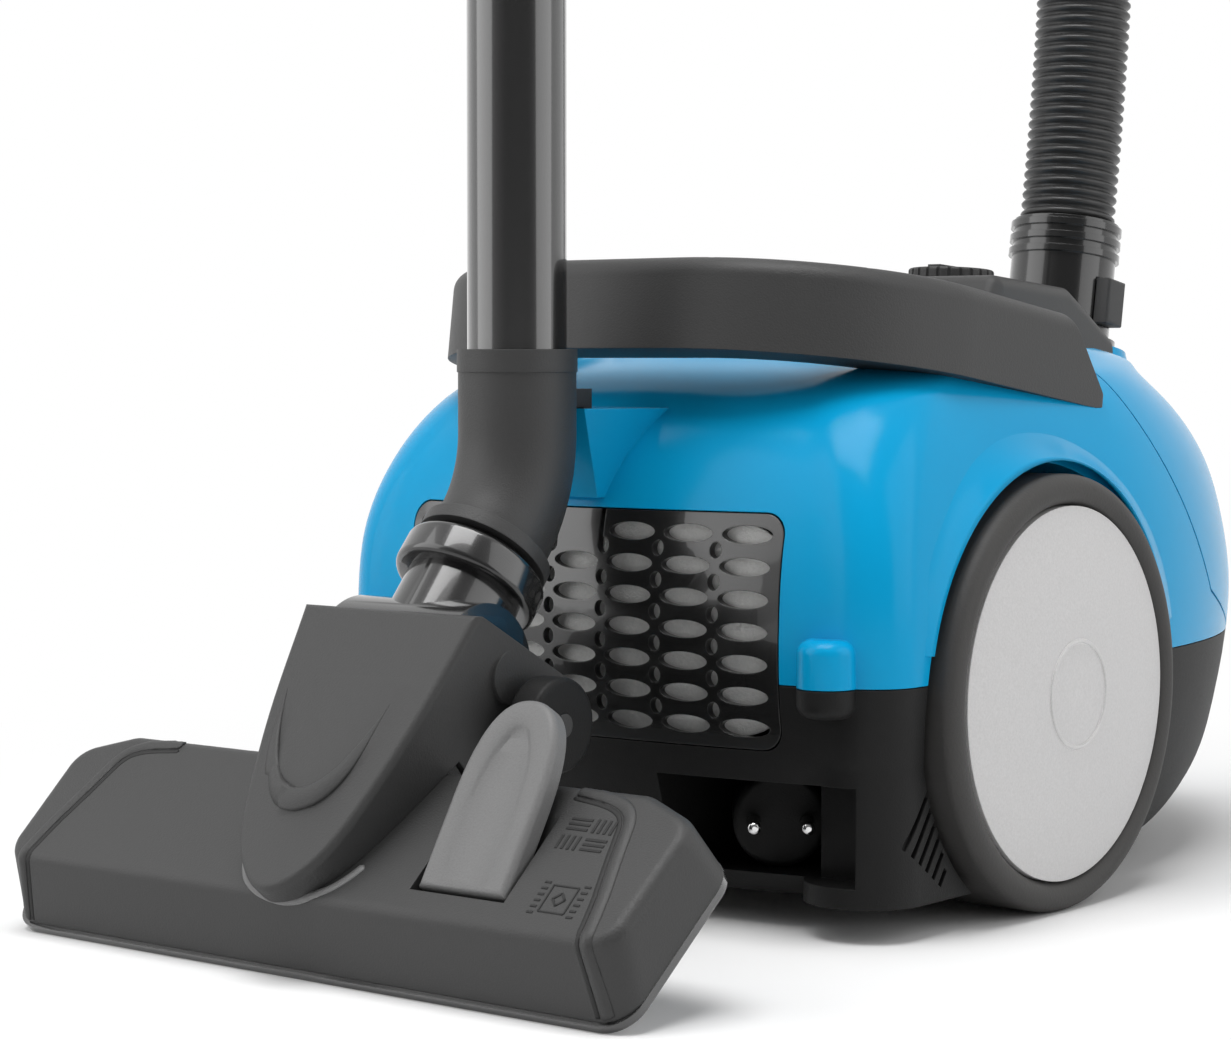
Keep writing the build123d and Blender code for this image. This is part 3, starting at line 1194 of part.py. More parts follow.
def hood_pad():
    """Oval pad on the hood's face that rises towards the tip, so that its rim shows as a crescent."""
    rise = degrees(atan2(PAD_RISE, PAD_BACK + PAD_HALF_L - PAD_TOP_BACK))
    with BuildPart() as pad:
        for height, inset in ((-HOOD_WALL / 2, 0), (2 * PAD_RISE, 2 * PAD_RIM)):
            with BuildSketch(HOOD.offset(height)):
                with Locations((0, -PAD_BACK)):
                    Ellipse(PAD_HALF_W - inset, PAD_HALF_L - inset)
        loft(ruled=True)
        with Locations(HOOD):
            with Locations(Location((0, -PAD_TOP_BACK, 0), (-rise, 0, 0))):
                Box(FAR / 2, FAR / 2, FAR / 4, align=(Align.CENTER, Align.CENTER, Align.MIN),
                    mode=Mode.SUBTRACT)
    return pad.part


with BuildPart() as nozzle_hood:
    add(hood_block(0, 0))
    fillet(nozzle_hood.faces().sort_by(Axis(HOOD.origin, HOOD.z_dir))[-1].edges(), HOOD_ROUND)
    add(hood_pad())
    add(hood_block(HOOD_WALL, -HOOD_WALL), mode=Mode.SUBTRACT)
    for hand in (1, -1):
        with Locations(NECK):
            with Locations((hand * (LUG_IN_X + LUG_OUT_X) / 2, 0, BARREL_S)):
                Cylinder(LUG_R, LUG_OUT_X - LUG_IN_X, rotation=(0, 90, 0))
        with Locations(HEAD):
            with Locations((hand * ROLLER_STUB_X, ROLLER_U, ROLLER_N)):
                Cylinder(ROLLER_AXLE_R, ROLLER_X + ROLLER_W / 2 + SEAT_GAP - ROLLER_STUB_X,
                         rotation=(0, 90 * hand, 0), align=(Align.CENTER, Align.CENTER, Align.MIN))
    with BuildSketch(head_side(-FAR / 2)):
        step_u = HEAD_DEPTH + 1.5
        Polygon((-FAR, -FAR), (FAR, -FAR), (FAR, HOOD_LOW_N), (step_u, HOOD_LOW_N), (step_u, HEAD_H),
                (-FAR, HEAD_H), align=None)
    extrude(amount=FAR, mode=Mode.SUBTRACT)
    with Locations(NECK):
        with Locations((0, 0, BARREL_S)):
            Cylinder(BARREL_R + BARREL_GAP, 2 * (BARREL_HALF_W + BARREL_GAP), rotation=(0, 90, 0),
                     mode=Mode.SUBTRACT)
            Cylinder(TRUNNION_R + RUN_CLEARANCE, 2 * TRUNNION_X + 1, rotation=(0, 90, 0), mode=Mode.SUBTRACT)
            for tilt in (0, NECK_SWING / 2, NECK_SWING):
                with Locations(Location((0, 0, 0), (tilt, 0, 0))):
                    Cylinder(NECK_R + BARREL_GAP, FAR / 5, mode=Mode.SUBTRACT,
                             align=(Align.CENTER, Align.CENTER, Align.MAX))
keep(nozzle_hood, "nozzle_hood")


def roller(hand):
    """Running roller beside the hood."""
    with BuildPart() as wheel:
        with Locations(HEAD):
            with Locations((hand * ROLLER_X, ROLLER_U, ROLLER_N)):
                Cylinder(ROLLER_R, ROLLER_W, rotation=(0, 90, 0))
        fillet(wheel.edges().filter_by(GeomType.CIRCLE), 2)
        with Locations(HEAD):
            with Locations((hand * ROLLER_X, ROLLER_U, ROLLER_N)):
                Cylinder(ROLLER_AXLE_R + RUN_CLEARANCE, 2 * ROLLER_W, rotation=(0, 90, 0), mode=Mode.SUBTRACT)
    return wheel


keep(roller(1), "right_roller")
keep(roller(-1), "left_roller")

# Head shell with the pedal's well
rocker = head_plane(*PEDAL_START, PEDAL_SLOPE)
ROCKER = Plane(rocker.origin + Vector(PEDAL_X, 0, 0), x_dir=rocker.x_dir, z_dir=rocker.z_dir)
with BuildPart() as head_shell:
    add(head_block(0, HEAD_H))
    fillet(head_shell.faces().sort_by(Axis(HEAD.origin, HEAD.z_dir))[-1].edges(), HEAD_ROUND)
    add(head_block(HEAD_SKIN, HEAD_H - HEAD_SKIN), mode=Mode.SUBTRACT)
    with Locations(HEAD):
        with Locations((PEDAL_X, (WELL_U0 + WELL_U1) / 2, (WELL_N + HEAD_H) / 2 - 1)):
            Box(2 * PEDAL_HALF_W + 8, WELL_U1 - WELL_U0, HEAD_H - WELL_N - 2)
    extrude(pedal_outline(ROCKER.offset(-PEDAL_T - PEDAL_DROP), PEDAL_GAP), amount=3 * HEAD_H,
            mode=Mode.SUBTRACT)
    with Locations(HEAD):
        with Locations((PEDAL_X, PEDAL_PIVOT_U, PEDAL_PIVOT_N + 8)):
            Box(PEDAL_LUG_W + 2, PEDAL_LUG_L + 6, PEDAL_LUG_H + 14, mode=Mode.SUBTRACT)
        with Locations((PEDAL_X, PEDAL_PIVOT_U, PEDAL_PIVOT_N)):
            Cylinder(PEDAL_PIN_R, PEDAL_PIN_L, rotation=(0, 90, 0), mode=Mode.SUBTRACT)
        with Locations((0, PASSAGE_U, HEAD_H)):
            Box(PASSAGE_W, PASSAGE_L, 4 * HEAD_SKIN, mode=Mode.SUBTRACT)
keep(head_shell, "head_shell")

with BuildPart() as pedal_pin:
    with Locations(HEAD):
        with Locations((PEDAL_X, PEDAL_PIVOT_U, PEDAL_PIVOT_N)):
            Cylinder(PEDAL_PIN_R, PEDAL_PIN_L, rotation=(0, 90, 0))
keep(pedal_pin, "pedal_pin")


def pedal_dish():
    """Cutter for the pedal's dish: an oval bowl on a floor that comes up to the face at the pedal's front."""
    fall = degrees(atan2(DISH_DEEP, DISH_U + DISH_HALF_L))
    floor = ROCKER.rotated((-fall, 0, 0))
    with BuildPart() as bowl:
        for height, spread in ((0, 0), (2 * DISH_DEEP, 2 * DISH_RIM)):
            with BuildSketch(floor.offset(height)):
                with Locations((0, DISH_U)):
                    Ellipse(DISH_HALF_W + spread - DISH_RIM, DISH_HALF_L + spread - DISH_RIM)
        loft(ruled=True)
    return bowl.part


with BuildPart() as nozzle_pedal:
    extrude(pedal_outline(ROCKER, 0), amount=-PEDAL_T)
    fillet(nozzle_pedal.faces().sort_by(Axis(ROCKER.origin, ROCKER.z_dir))[-1].edges(), PEDAL_ROUND)
    add(pedal_dish(), mode=Mode.SUBTRACT)
    with Locations(HEAD):
        with Locations((PEDAL_X, PEDAL_PIVOT_U, PEDAL_PIVOT_N + 2)):
            Box(PEDAL_LUG_W, PEDAL_LUG_L, PEDAL_LUG_H)
        with Locations((PEDAL_X, PEDAL_PIVOT_U, PEDAL_PIVOT_N)):
            Cylinder(PEDAL_PIN_R + RUN_CLEARANCE, PEDAL_PIN_L, rotation=(0, 90, 0), mode=Mode.SUBTRACT)
keep(nozzle_pedal, "nozzle_pedal")

# Sole plate with the suction mouth and the two brush slots
with BuildPart() as sole_plate:
    extrude(head_outline(HEAD, 0, 0), amount=SOLE_T)
    with BuildSketch(HEAD):
        with Locations((0, MOUTH_U)):
            SlotOverall(MOUTH_W, MOUTH_L)
        for u, half in BRUSHES:
            with Locations((0, u)):
                Rectangle(2 * (half + BRUSH_GAP), BRUSH_T + 2 * BRUSH_GAP)
    extrude(amount=SOLE_T, mode=Mode.SUBTRACT)
keep(sole_plate, "sole_plate")


def brush_strip(u, half):
    """Bristle strip drawn up inside its slot."""
    with BuildPart() as strip:
        with Locations(HEAD):
            with Locations((0, u, BRUSH_LOW_N)):
                Box(2 * half, BRUSH_T, BRUSH_H, align=(Align.CENTER, Align.CENTER, Align.MIN))
    return strip


for word, brush in zip(("front", "rear"), BRUSHES):
    keep(brush_strip(*brush), f"{word}_brush_strip")

# Inside: wall between the dust chamber and the motor, with its window and filter
with BuildPart() as chamber_wall:
    add(hull(WALL + SEAT_GAP))
    with Locations(at(0, CHAMBER_Y, (INNER_FLOOR_Z + CHAMBER_TOP_Z) / 2)):
        Box(2 * CHAMBER_HALF_W, CHAMBER_T, CHAMBER_TOP_Z - INNER_FLOOR_Z,
            align=(Align.CENTER, Align.MAX, Align.CENTER), mode=Mode.INTERSECT)
    with Locations(at(MOTOR_X, CHAMBER_Y, MOTOR_Z)):
        Cylinder(INTAKE_R, 3 * CHAMBER_T, rotation=(90, 0, 0), mode=Mode.SUBTRACT)
keep(chamber_wall, "chamber_wall")

with BuildPart() as motor_filter:
    with Locations(at(MOTOR_X, CHAMBER_Y, MOTOR_Z)):
        Box(2 * FILTER_HALF_W, FILTER_T, 2 * FILTER_HALF_W, align=(Align.CENTER, Align.MIN, Align.CENTER))
keep(motor_filter, "motor_filter")

motor_front_y = CHAMBER_Y - CHAMBER_T
with BuildPart() as motor_housing:
    with Locations(at(MOTOR_X, motor_front_y - MOTOR_L / 2, INNER_FLOOR_Z)):
        Box(1.6 * MOTOR_R, 0.6 * MOTOR_L, MOTOR_Z - 0.7 * MOTOR_R - INNER_FLOOR_Z,
            align=(Align.CENTER, Align.CENTER, Align.MIN))
    with Locations(at(MOTOR_X, motor_front_y, MOTOR_Z)):
        Cylinder(MOTOR_R, MOTOR_L, rotation=(90, 0, 0), align=(Align.CENTER, Align.CENTER, Align.MIN))
        Cylinder(MOTOR_R - WALL, MOTOR_L - WALL, rotation=(90, 0, 0), mode=Mode.SUBTRACT,
                 align=(Align.CENTER, Align.CENTER, Align.MIN))
        Cylinder(ROTOR_SHAFT_R + RUN_CLEARANCE, 3 * MOTOR_L, rotation=(90, 0, 0), mode=Mode.SUBTRACT)
keep(motor_housing, "motor_housing")

with BuildPart() as motor_rotor:
    with Locations(at(MOTOR_X, motor_front_y - FAN_SET_BACK, MOTOR_Z)):
        Cylinder(ROTOR_SHAFT_R, MOTOR_L, rotation=(90, 0, 0), align=(Align.CENTER, Align.CENTER, Align.MIN))
        Cylinder(FAN_R, FAN_T, rotation=(90, 0, 0), align=(Align.CENTER, Align.CENTER, Align.MIN))
    with Locations(at(MOTOR_X, motor_front_y - 2 * FAN_SET_BACK - FAN_T, MOTOR_Z)):
        Cylinder(ARMATURE_R, ARMATURE_L, rotation=(90, 0, 0), align=(Align.CENTER, Align.CENTER, Align.MIN))
keep(motor_rotor, "motor_rotor")

# Inside: cord reel on its bracket, with the cord wound on it
with BuildPart() as reel_bracket:
    with Locations(at(REEL_X0 - REEL_PLAY - WALL, REEL_Y, INNER_FLOOR_Z)):
        Box(WALL, 0.75 * REEL_R, REEL_Z + 3 * REEL_AXLE_R - INNER_FLOOR_Z,
            align=(Align.MIN, Align.CENTER, Align.MIN))
    with Locations(at(REEL_X0 - REEL_PLAY - WALL, REEL_Y, REEL_Z)):
        Cylinder(REEL_AXLE_R, REEL_X1 - REEL_X0 + 2 * REEL_PLAY + WALL, rotation=(0, 90, 0),
                 align=(Align.CENTER, Align.CENTER, Align.MIN))
keep(reel_bracket, "reel_bracket")

with BuildPart() as cord_reel:
    with Locations(at((REEL_X0 + REEL_X1) / 2, REEL_Y, REEL_Z)):
        Cylinder(REEL_DRUM_R, REEL_X1 - REEL_X0, rotation=(0, 90, 0))
    with Locations(at(REEL_X0 + WALL / 2, REEL_Y, REEL_Z), at(REEL_X1 - WALL / 2, REEL_Y, REEL_Z)):
        Cylinder(REEL_R, WALL, rotation=(0, 90, 0))
    with Locations(at(REEL_X0, REEL_Y, REEL_Z)):
        Cylinder(REEL_AXLE_R + RUN_CLEARANCE, FAR, rotation=(0, 90, 0), mode=Mode.SUBTRACT)
keep(cord_reel, "cord_reel")

with BuildPart() as cord_winding:
    with Locations(at((REEL_X0 + REEL_X1) / 2, REEL_Y, REEL_Z)):
        Cylinder(REEL_R - 6, REEL_X1 - REEL_X0 - 2 * WALL, rotation=(0, 90, 0))
        Cylinder(REEL_DRUM_R, FAR, rotation=(0, 90, 0), mode=Mode.SUBTRACT)
keep(cord_winding, "cord_winding")

# Inside: control board hung under the top, dust bag and its holder
with BuildPart() as power_board:
    with Locations(at(0, FOOT_Y, BOARD_Z)):
        Box(2 * BOARD_HALF_W, BOARD_L, BOARD_T, align=(Align.CENTER, Align.CENTER, Align.MAX))
        with GridLocations(2 * BOARD_HALF_W - 12, BOARD_L - 12, 2, 2):
            Cylinder(3, TOP_Z - WALL - BOARD_Z, align=(Align.CENTER, Align.CENTER, Align.MIN))
keep(power_board, "power_board")

with BuildPart() as dust_bag:
    with BuildSketch(level(CASTER_STEM_TOP)):
        with Locations((0, (BAG_REAR_Y + BAG_FRONT_Y) / 2)):
            RectangleRounded(2 * BAG_HALF_W, BAG_FRONT_Y - BAG_REAR_Y, BAG_CORNER)
    extrude(amount=BAG_TOP_Z - CASTER_STEM_TOP)
    fillet(dust_bag.faces().sort_by(Axis.Z)[0].edges(), 12)
keep(dust_bag, "dust_bag")

with BuildPart() as bag_holder:
    with BuildSketch(level(BAG_TOP_Z)):
        with Locations((0, (BAG_REAR_Y + BAG_FRONT_Y) / 2)):
            RectangleRounded(1.6 * BAG_HALF_W, BAG_FRONT_Y - BAG_REAR_Y, BAG_CORNER)
        with Locations((0, BAG_MOUTH_Y)):
            Circle(INLET_BORE_R, mode=Mode.SUBTRACT)
    extrude(amount=WALL)
keep(bag_holder, "bag_holder")
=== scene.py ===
from itertools import product
from math import cos, pi, radians, sin

import bmesh
import bpy
import numpy as np
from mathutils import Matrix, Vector


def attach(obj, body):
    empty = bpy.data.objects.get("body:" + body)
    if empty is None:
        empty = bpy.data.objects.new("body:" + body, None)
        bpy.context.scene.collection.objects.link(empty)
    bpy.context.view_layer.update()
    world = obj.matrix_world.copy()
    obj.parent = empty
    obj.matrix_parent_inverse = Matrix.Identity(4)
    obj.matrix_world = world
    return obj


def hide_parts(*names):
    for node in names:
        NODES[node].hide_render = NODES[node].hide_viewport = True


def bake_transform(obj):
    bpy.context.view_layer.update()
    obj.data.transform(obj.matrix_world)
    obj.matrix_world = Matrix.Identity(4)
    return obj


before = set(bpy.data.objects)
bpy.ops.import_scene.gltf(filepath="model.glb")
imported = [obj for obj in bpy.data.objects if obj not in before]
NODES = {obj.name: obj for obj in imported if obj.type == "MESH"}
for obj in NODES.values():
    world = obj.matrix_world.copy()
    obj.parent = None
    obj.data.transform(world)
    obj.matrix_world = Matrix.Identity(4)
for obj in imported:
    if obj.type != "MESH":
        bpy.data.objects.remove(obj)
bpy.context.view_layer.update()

bl_info = {
    "name": "Canister vacuum cleaner",
    "version": (1, 0, 0),
    "blender": (4, 5, 0),
    "location": "View3D > Sidebar > Vacuum",
    "description": "Dresses a canister vacuum cleaner with its parked wand, hose and floor nozzle",
    "category": "Object",
}

# All lengths are in metres. Place of the rear axle along Y, and the height of the wheel centres
AXLE_Y = 0.0020
WHEEL_Z = 0.080

# Hose: its route as (Y from the axle, Z), and the points drawn along it
HOSE_ROUTE = np.array([
    (0.2257, 0.2622), (0.2386, 0.3381), (0.244, 0.450), (0.247, 0.640), (0.245, 0.830),
    (0.236, 1.020), (0.172, 1.106), (0.071, 1.143), (-0.034, 1.120), (-0.098, 1.054),
])
HOSE_POINTS = 1600
# Height where the two stretches of the hose meet, in the part of it past this Y
MEETING_Z = 0.83
FRONT_Y = 0.2
# Power of the rib wave: under 1, crests are broad and roots narrow
RIB_POWER = 0.6

# Nozzle head: tilt, Y of its front lower edge from the axle, thickness, and its up and back
TILT = radians(41)
HEAD_FRONT_Y = -0.2625
HEAD_TOP = 0.026
HEAD_UP = np.array([0, -sin(TILT), cos(TILT)])
HEAD_BACK = np.array([0, cos(TILT), sin(TILT)])
# Where draped lines start: height over the head, height over the hood, distance from a cap
OVER_HEAD = 0.08
OVER_HOOD = 0.12
OFF_CAP = 0.1

# Seam of the right end cap over the top of the head, as (X, depth), with its steps and rounding
CAP_SEAM = np.array([(0.090, 0.0672), (0.104, 0.0654), (0.110, 0.0635), (0.1135, 0.0605),
                     (0.1174, 0.0444), (0.1207, 0.0320)])
CAP_TOP_STEPS = 60
CAP_ROUNDING = 4
# The same seam down the front: its X, its lean from the head's up, and its steps
CAP_FRONT_X = (0.1210, 0.1285)
CAP_LEAN = (radians(2), radians(92))
CAP_FRONT_STEPS = 40
# Line in the head, as (depth, height), that the front of the seam is drawn towards
CAP_HEART = (0.032, 0.004)
# Height of the seam strip: it is drawn raised, and its near-black finish is painted shade of the
# groove
SEAM_HEIGHT = 0.00014
# Rib beside the seam, towards the end of the head
RIB_OFFSET = 0.0034
RIB_HEIGHT = 0.0008

# Crescent on the hood, as (X, depth), how its width tapers, and where across it is highest
CRESCENT = np.array([(-0.029, 0.080), (-0.025, 0.062), (-0.018, 0.048), (-0.008, 0.0395),
                     (0.002, 0.039), (0.011, 0.046), (0.016, 0.058), (0.020, 0.078)])
CRESCENT_STEPS = 80
CRESCENT_ROUNDING = 6
CRESCENT_TAPER = 1.3
CRESCENT_HEIGHT = 0.0019
CRESCENT_PEAK = -0.6

# Rim on the head round the tip of the hood, as (X, depth)
TIP_RIM = np.array([(-0.0262, 0.0300), (-0.0225, 0.0220), (-0.0150, 0.0155), (-0.0060, 0.0128),
                    (0.0060, 0.0128), (0.0150, 0.0155), (0.0225, 0.0220), (0.0262, 0.0300)])
RIM_STEPS = 60
RIM_ROUNDING = 5
RIM_HEIGHT = 0.0006

# Points over a bead's top
BEAD_POINTS = 13

# Hard floor sign: middles of its cells of lying and of standing planks, as (X, depth)
LYING_CELLS = ((0.099, 0.0570), (0.109, 0.0495))
LYING_STEPS = (-0.0020, 0, 0.0020)
STANDING_CELLS = ((0.10895, 0.0570), (0.09895, 0.0495))
STANDING_STEPS = (-0.00345, -0.00115, 0.00115, 0.00345)
LYING_HALF = 0.0042
STANDING_HALF = 0.0028
PLANK_HALF = 0.0005
# Rug sign: middle as (X, depth), half sizes of its frame, fringe and diamond
RUG = (0.109, 0.0275)
RUG_HALF_X = 0.0050
RUG_HALF_DEPTH = 0.0052
RUG_LINE = 0.0003
FRINGE_OUT = 0.0078
FRINGE_STEPS = np.linspace(-0.006, 0.006, 6)
FRINGE_HALF = 0.0012
FRINGE_LINE = 0.0004
DIAMOND_OUT = 0.0012
DIAMOND_HALF = 0.0018

# Wheel flare: the angles it spans, its steps round the wheel and from body to lip, where its
# lines start beside the body, how far it stands out at least, its thickness and sunken foot
FLARE_SPAN = (radians(12), radians(168))
FLARE_STEPS = 120
FLARE_ROWS = 14
FLARE_START = 0.2
FLARE_LEAST = 0.0006
FLARE_THICK = 0.0022
FLARE_SINK = 0.0003

# Stuffed forms: points along and round them, the least and greatest thickness of a solid that is
# drawn as a bent pad, and half the thickness of that pad
PAD_ROWS = 97
PAD_COLUMNS = 96
BENT_PAD = (0.008, 0.04)
BENT_HALF = 0.0008
# Lengths in X and Z of the two long creases that cross, and of the short one with its share
LONG_CREASE = (0.017, 0.020)
CROSS_CREASE = (-0.050, 0.021)
SHORT_CREASE = (0.006, 0.009)
SHORT_SHARE = 0.5

# Bristles: rows in a strip, their inset, and a tuft's radius with its share of the way down
TUFT_ROWS = 3
TUFT_INSET = 0.0014
TUFT_SIDES = 4
TUFT_RADIUS = np.array([0, 0.0013, 0.0012, 0.0007, 0])
TUFT_WAY = np.array([0, 0, 0.5, 1, 1])

# Joining of loose triangles and of poles, and the edge angle up to which shading is smooth
TRIANGLE_JOIN = 0.00001
POLE_JOIN = 0.000001
SMOOTH_ANGLE = radians(32)

# Shading: the radius edges look rounded by, the depth of bump, and of the felt's bump
EDGE_ROUND = 0.0006
BUMP_DEPTH = 0.0004
FELT_DEPTH = 0.001
# Shares of a colour: dark and light grain with rubbed edges, polish with rubbed edges, and dark
# and light felt
GRAIN_DARK, GRAIN_LIGHT, GRAIN_WORN = 0.86, 1.14, 1.5
POLISH_WORN = 1.25
FELT_DARK, FELT_LIGHT = 0.8, 1.1
# Ripple and rubbing on polished plastic, how far rubbing and metal lines change roughness, and
# how many of those lines lie in a metre across and along the metal
RIPPLE_SIZE = 0.02
RUB_SIZE = 0.006
RUB_SPREAD = 0.15
LINE_SPREAD = 0.3
LINE_SCALE = (1500, 1500, 60)

# Floor: half its width, and the distances between which it turns to the white of the backdrop
FLOOR_HALF = 6
FLOOR_FADE = (0.2, 0.62)
# World: which way the camera's side lies, the cosine from it where the world is dimmest, and its
# strengths there, as the backdrop and as fill light
CAMERA_SIDE = (0.652, -0.758, 0.0)
CAMERA_SIDE_TURN = 0.9
CAMERA_SIDE_STRENGTH = 0.15
BACKDROP_STRENGTH = 1.0
FILL_STRENGTH = 0.26
# Lamps, as name, place, width and height, and watts, with the point they face
LAMPS = [
    ("left_box", (-1.05, -1.34, 0.95), (1.5, 1.9), 15.0),
    ("right_box", (1.66, 0.36, 0.95), (1.5, 1.9), 13.0),
    ("top_box", (0.1, -0.5, 2.3), (1.4, 1.4), 44.0),
]
LAMP_AIM = Vector((0, 0, 0.25))
# Camera fitted to the photograph: place, turn, focal length and width in its pixels, and sensor
CAMERA_PLACE = (0.6927, AXLE_Y - 0.956, 0.2012)
CAMERA_TURN = (radians(90 - 3.03), 0, radians(38.85))
FOCAL_PIXELS = 3020
FRAME_PIXELS = 1231
SENSOR = 36


class VacuumSizes(bpy.types.PropertyGroup):
    """Sizes of the pieces that are drawn here."""
    hose_crest: bpy.props.FloatProperty(
        name="Hose crest radius", description="Radius of the hose over its ribs",
        default=0.021, unit="LENGTH")
    hose_root: bpy.props.FloatProperty(
        name="Hose root radius", description="Radius of the hose between its ribs",
        default=0.0187, unit="LENGTH")
    rib_pitch: bpy.props.FloatProperty(
        name="Rib pitch", description="Distance from one hose rib to the next",
        default=0.0046, unit="LENGTH")
    hose_sides: bpy.props.IntProperty(
        name="Hose sides", description="Points round the hose", default=32, min=8)
    seam_width: bpy.props.FloatProperty(
        name="Seam width", description="Width of the seam round the end caps of the nozzle",
        default=0.0018, unit="LENGTH")
    rib_width: bpy.props.FloatProperty(
        name="Cap rib width", description="Width of the rib along the end caps of the nozzle",
        default=0.0046, unit="LENGTH")
    crescent_width: bpy.props.FloatProperty(
        name="Crescent width", description="Widest part of the crescent on the hood",
        default=0.0085, unit="LENGTH")
    rim_width: bpy.props.FloatProperty(
        name="Rim width", description="Width of the rim round the tip of the hood",
        default=0.0034, unit="LENGTH")
    arch_outer: bpy.props.FloatProperty(
        name="Arch outer radius",
        description="Where the flare over each rear wheel leaves the body",
        default=0.106, unit="LENGTH")
    arch_inner: bpy.props.FloatProperty(
        name="Arch inner radius", description="Lip of the flare over each rear wheel",
        default=0.0848, unit="LENGTH")
    arch_back: bpy.props.FloatProperty(
        name="Arch setback",
        description="How far the lip of the flare stays inside the face of the tyre",
        default=0.006, unit="LENGTH")
    mark_height: bpy.props.FloatProperty(
        name="Mark height", description="How far the floor marks stand out of the head",
        default=0.0002, unit="LENGTH")
    tuft_pitch: bpy.props.FloatProperty(
        name="Tuft pitch", description="Distance from one bristle tuft to the next",
        default=0.0028, unit="LENGTH")


class VacuumColours(bpy.types.PropertyGroup):
    """Colours of the finishes, as sRGB hex."""
    shell: bpy.props.StringProperty(
        name="Shell", description="Glossy body shell", default="0797CA")
    dark: bpy.props.StringProperty(
        name="Dark", description="Grained dark mouldings", default="353535")
    base: bpy.props.StringProperty(
        name="Base", description="Lower housing", default="171717")
    black: bpy.props.StringProperty(
        name="Black", description="Glossy dark mouldings", default="1A1A1A")
    pedal: bpy.props.StringProperty(
        name="Pedal", description="Lighter grained mouldings", default="6E6E6E")
    disc: bpy.props.StringProperty(
        name="Disc", description="Wheel covers", default="C4C3C3")
    tyre: bpy.props.StringProperty(
        name="Tyre", description="Wheel rubber", default="383736")
    tube: bpy.props.StringProperty(
        name="Tube", description="Enamel of the wand", default="1E1E1E")
    hose: bpy.props.StringProperty(
        name="Hose", description="Ribbed hose", default="2E2E2E")
    fleece: bpy.props.StringProperty(
        name="Fleece", description="Exhaust and motor fleece", default="F2F2F0")
    paper: bpy.props.StringProperty(
        name="Paper", description="Dust bag", default="D8D2C4")
    bristle: bpy.props.StringProperty(
        name="Bristle", description="Brush strips", default="2A2A2A")
    plating: bpy.props.StringProperty(
        name="Plating", description="Plug pins", default="DADADA")
    steel: bpy.props.StringProperty(
        name="Steel", description="Pins, axles and screws", default="A8A8A8")
    board: bpy.props.StringProperty(
        name="Board", description="Power board", default="2F5A3A")
    # Mark: near-black painted shade for the floor marks and cap seams, drawn raised in place of
    # shaded grooves
    mark: bpy.props.StringProperty(
        name="Mark", description="Floor marks and seams", default="1A1A1A")
    floor: bpy.props.StringProperty(
        name="Floor", description="Paper that the cleaner stands on", default="F6F6F6")


def linear(code):
    """sRGB hex to linear RGBA: each channel divided by 12.92 when dark, else a 2.4 power."""
    value = np.array([int(code[i:i + 2], 16) / 255 for i in (0, 2, 4)])
    low = value / 12.92
    high = ((value + 0.055) / 1.055) ** 2.4
    return (*np.where(value <= 0.04045, low, high), 1.0)


def tint(code, share):
    """A colour made darker or lighter by a share, and no lighter than white."""
    return (*np.minimum(np.array(linear(code)[:3]) * share, 1), 1)


def connect(tree, node, links):
    """Links sources to a node's sockets."""
    for socket, source in links.items():
        tree.links.new(source, node.inputs[socket])


def add_node(tree, kind, links=None, **settings):
    """Adds one node, sets its properties or sockets by name, and links its sockets."""
    node = tree.nodes.new(kind)
    for key, value in settings.items():
        if hasattr(node, key):
            setattr(node, key, value)
        else:
            node.inputs[key.replace("_", " ")].default_value = value
    connect(tree, node, links or {})
    return node


def new_finish(name, code, **settings):
    """A Principled material with the given colour and socket values."""
    material = bpy.data.materials.new(name)
    material.use_nodes = True
    shader = material.node_tree.nodes["Principled BSDF"]
    shader.inputs["Base Color"].default_value = linear(code)
    for key, value in settings.items():
        shader.inputs[key.replace("_", " ")].default_value = value
    return material, material.node_tree, shader


def softened(tree):
    """Normal rounded over edges, and a mask of those edges from how far it leans off the face."""
    bevel = add_node(tree, "ShaderNodeBevel", samples=4, Radius=EDGE_ROUND)
    face = add_node(tree, "ShaderNodeNewGeometry")
    lean = add_node(tree, "ShaderNodeVectorMath",
                    {0: bevel.outputs["Normal"], 1: face.outputs["Normal"]},
                    operation="DOT_PRODUCT")
    edge = add_node(tree, "ShaderNodeMapRange", {"Value": lean.outputs["Value"]},
                    From_Min=1.0, From_Max=0.8)
    return bevel, edge


def grained(name, code, grit, depth, roughness, spread, ior=1.42):
    """Moulded plastic with a spark-eroded grain: noise of grit metres drives bump, roughness
    and tone, and edges are rubbed lighter."""
    material, tree, shader = new_finish(name, code, IOR=ior)
    bevel, edge = softened(tree)
    coords = add_node(tree, "ShaderNodeTexCoord")
    grain = add_node(tree, "ShaderNodeTexNoise", {"Vector": coords.outputs["Object"]},
                     Scale=1 / grit, Detail=2.0, Roughness=0.6)
    bump = add_node(tree, "ShaderNodeBump",
                    {"Height": grain.outputs["Fac"], "Normal": bevel.outputs["Normal"]},
                    Strength=depth, Distance=BUMP_DEPTH)
    rough = add_node(tree, "ShaderNodeMapRange", {"Value": grain.outputs["Fac"]},
                     To_Min=roughness - spread, To_Max=roughness + spread)
    tone = add_node(tree, "ShaderNodeValToRGB", {"Fac": grain.outputs["Fac"]})
    tone.color_ramp.elements[0].color = tint(code, GRAIN_DARK)
    tone.color_ramp.elements[1].color = tint(code, GRAIN_LIGHT)
    worn = add_node(tree, "ShaderNodeMixRGB",
                    {"Fac": edge.outputs["Result"], "Color1": tone.outputs["Color"]},
                    Color2=tint(code, GRAIN_WORN))
    connect(tree, shader, {"Normal": bump.outputs["Normal"],
                           "Roughness": rough.outputs["Result"],
                           "Base Color": worn.outputs["Color"]})
    return material


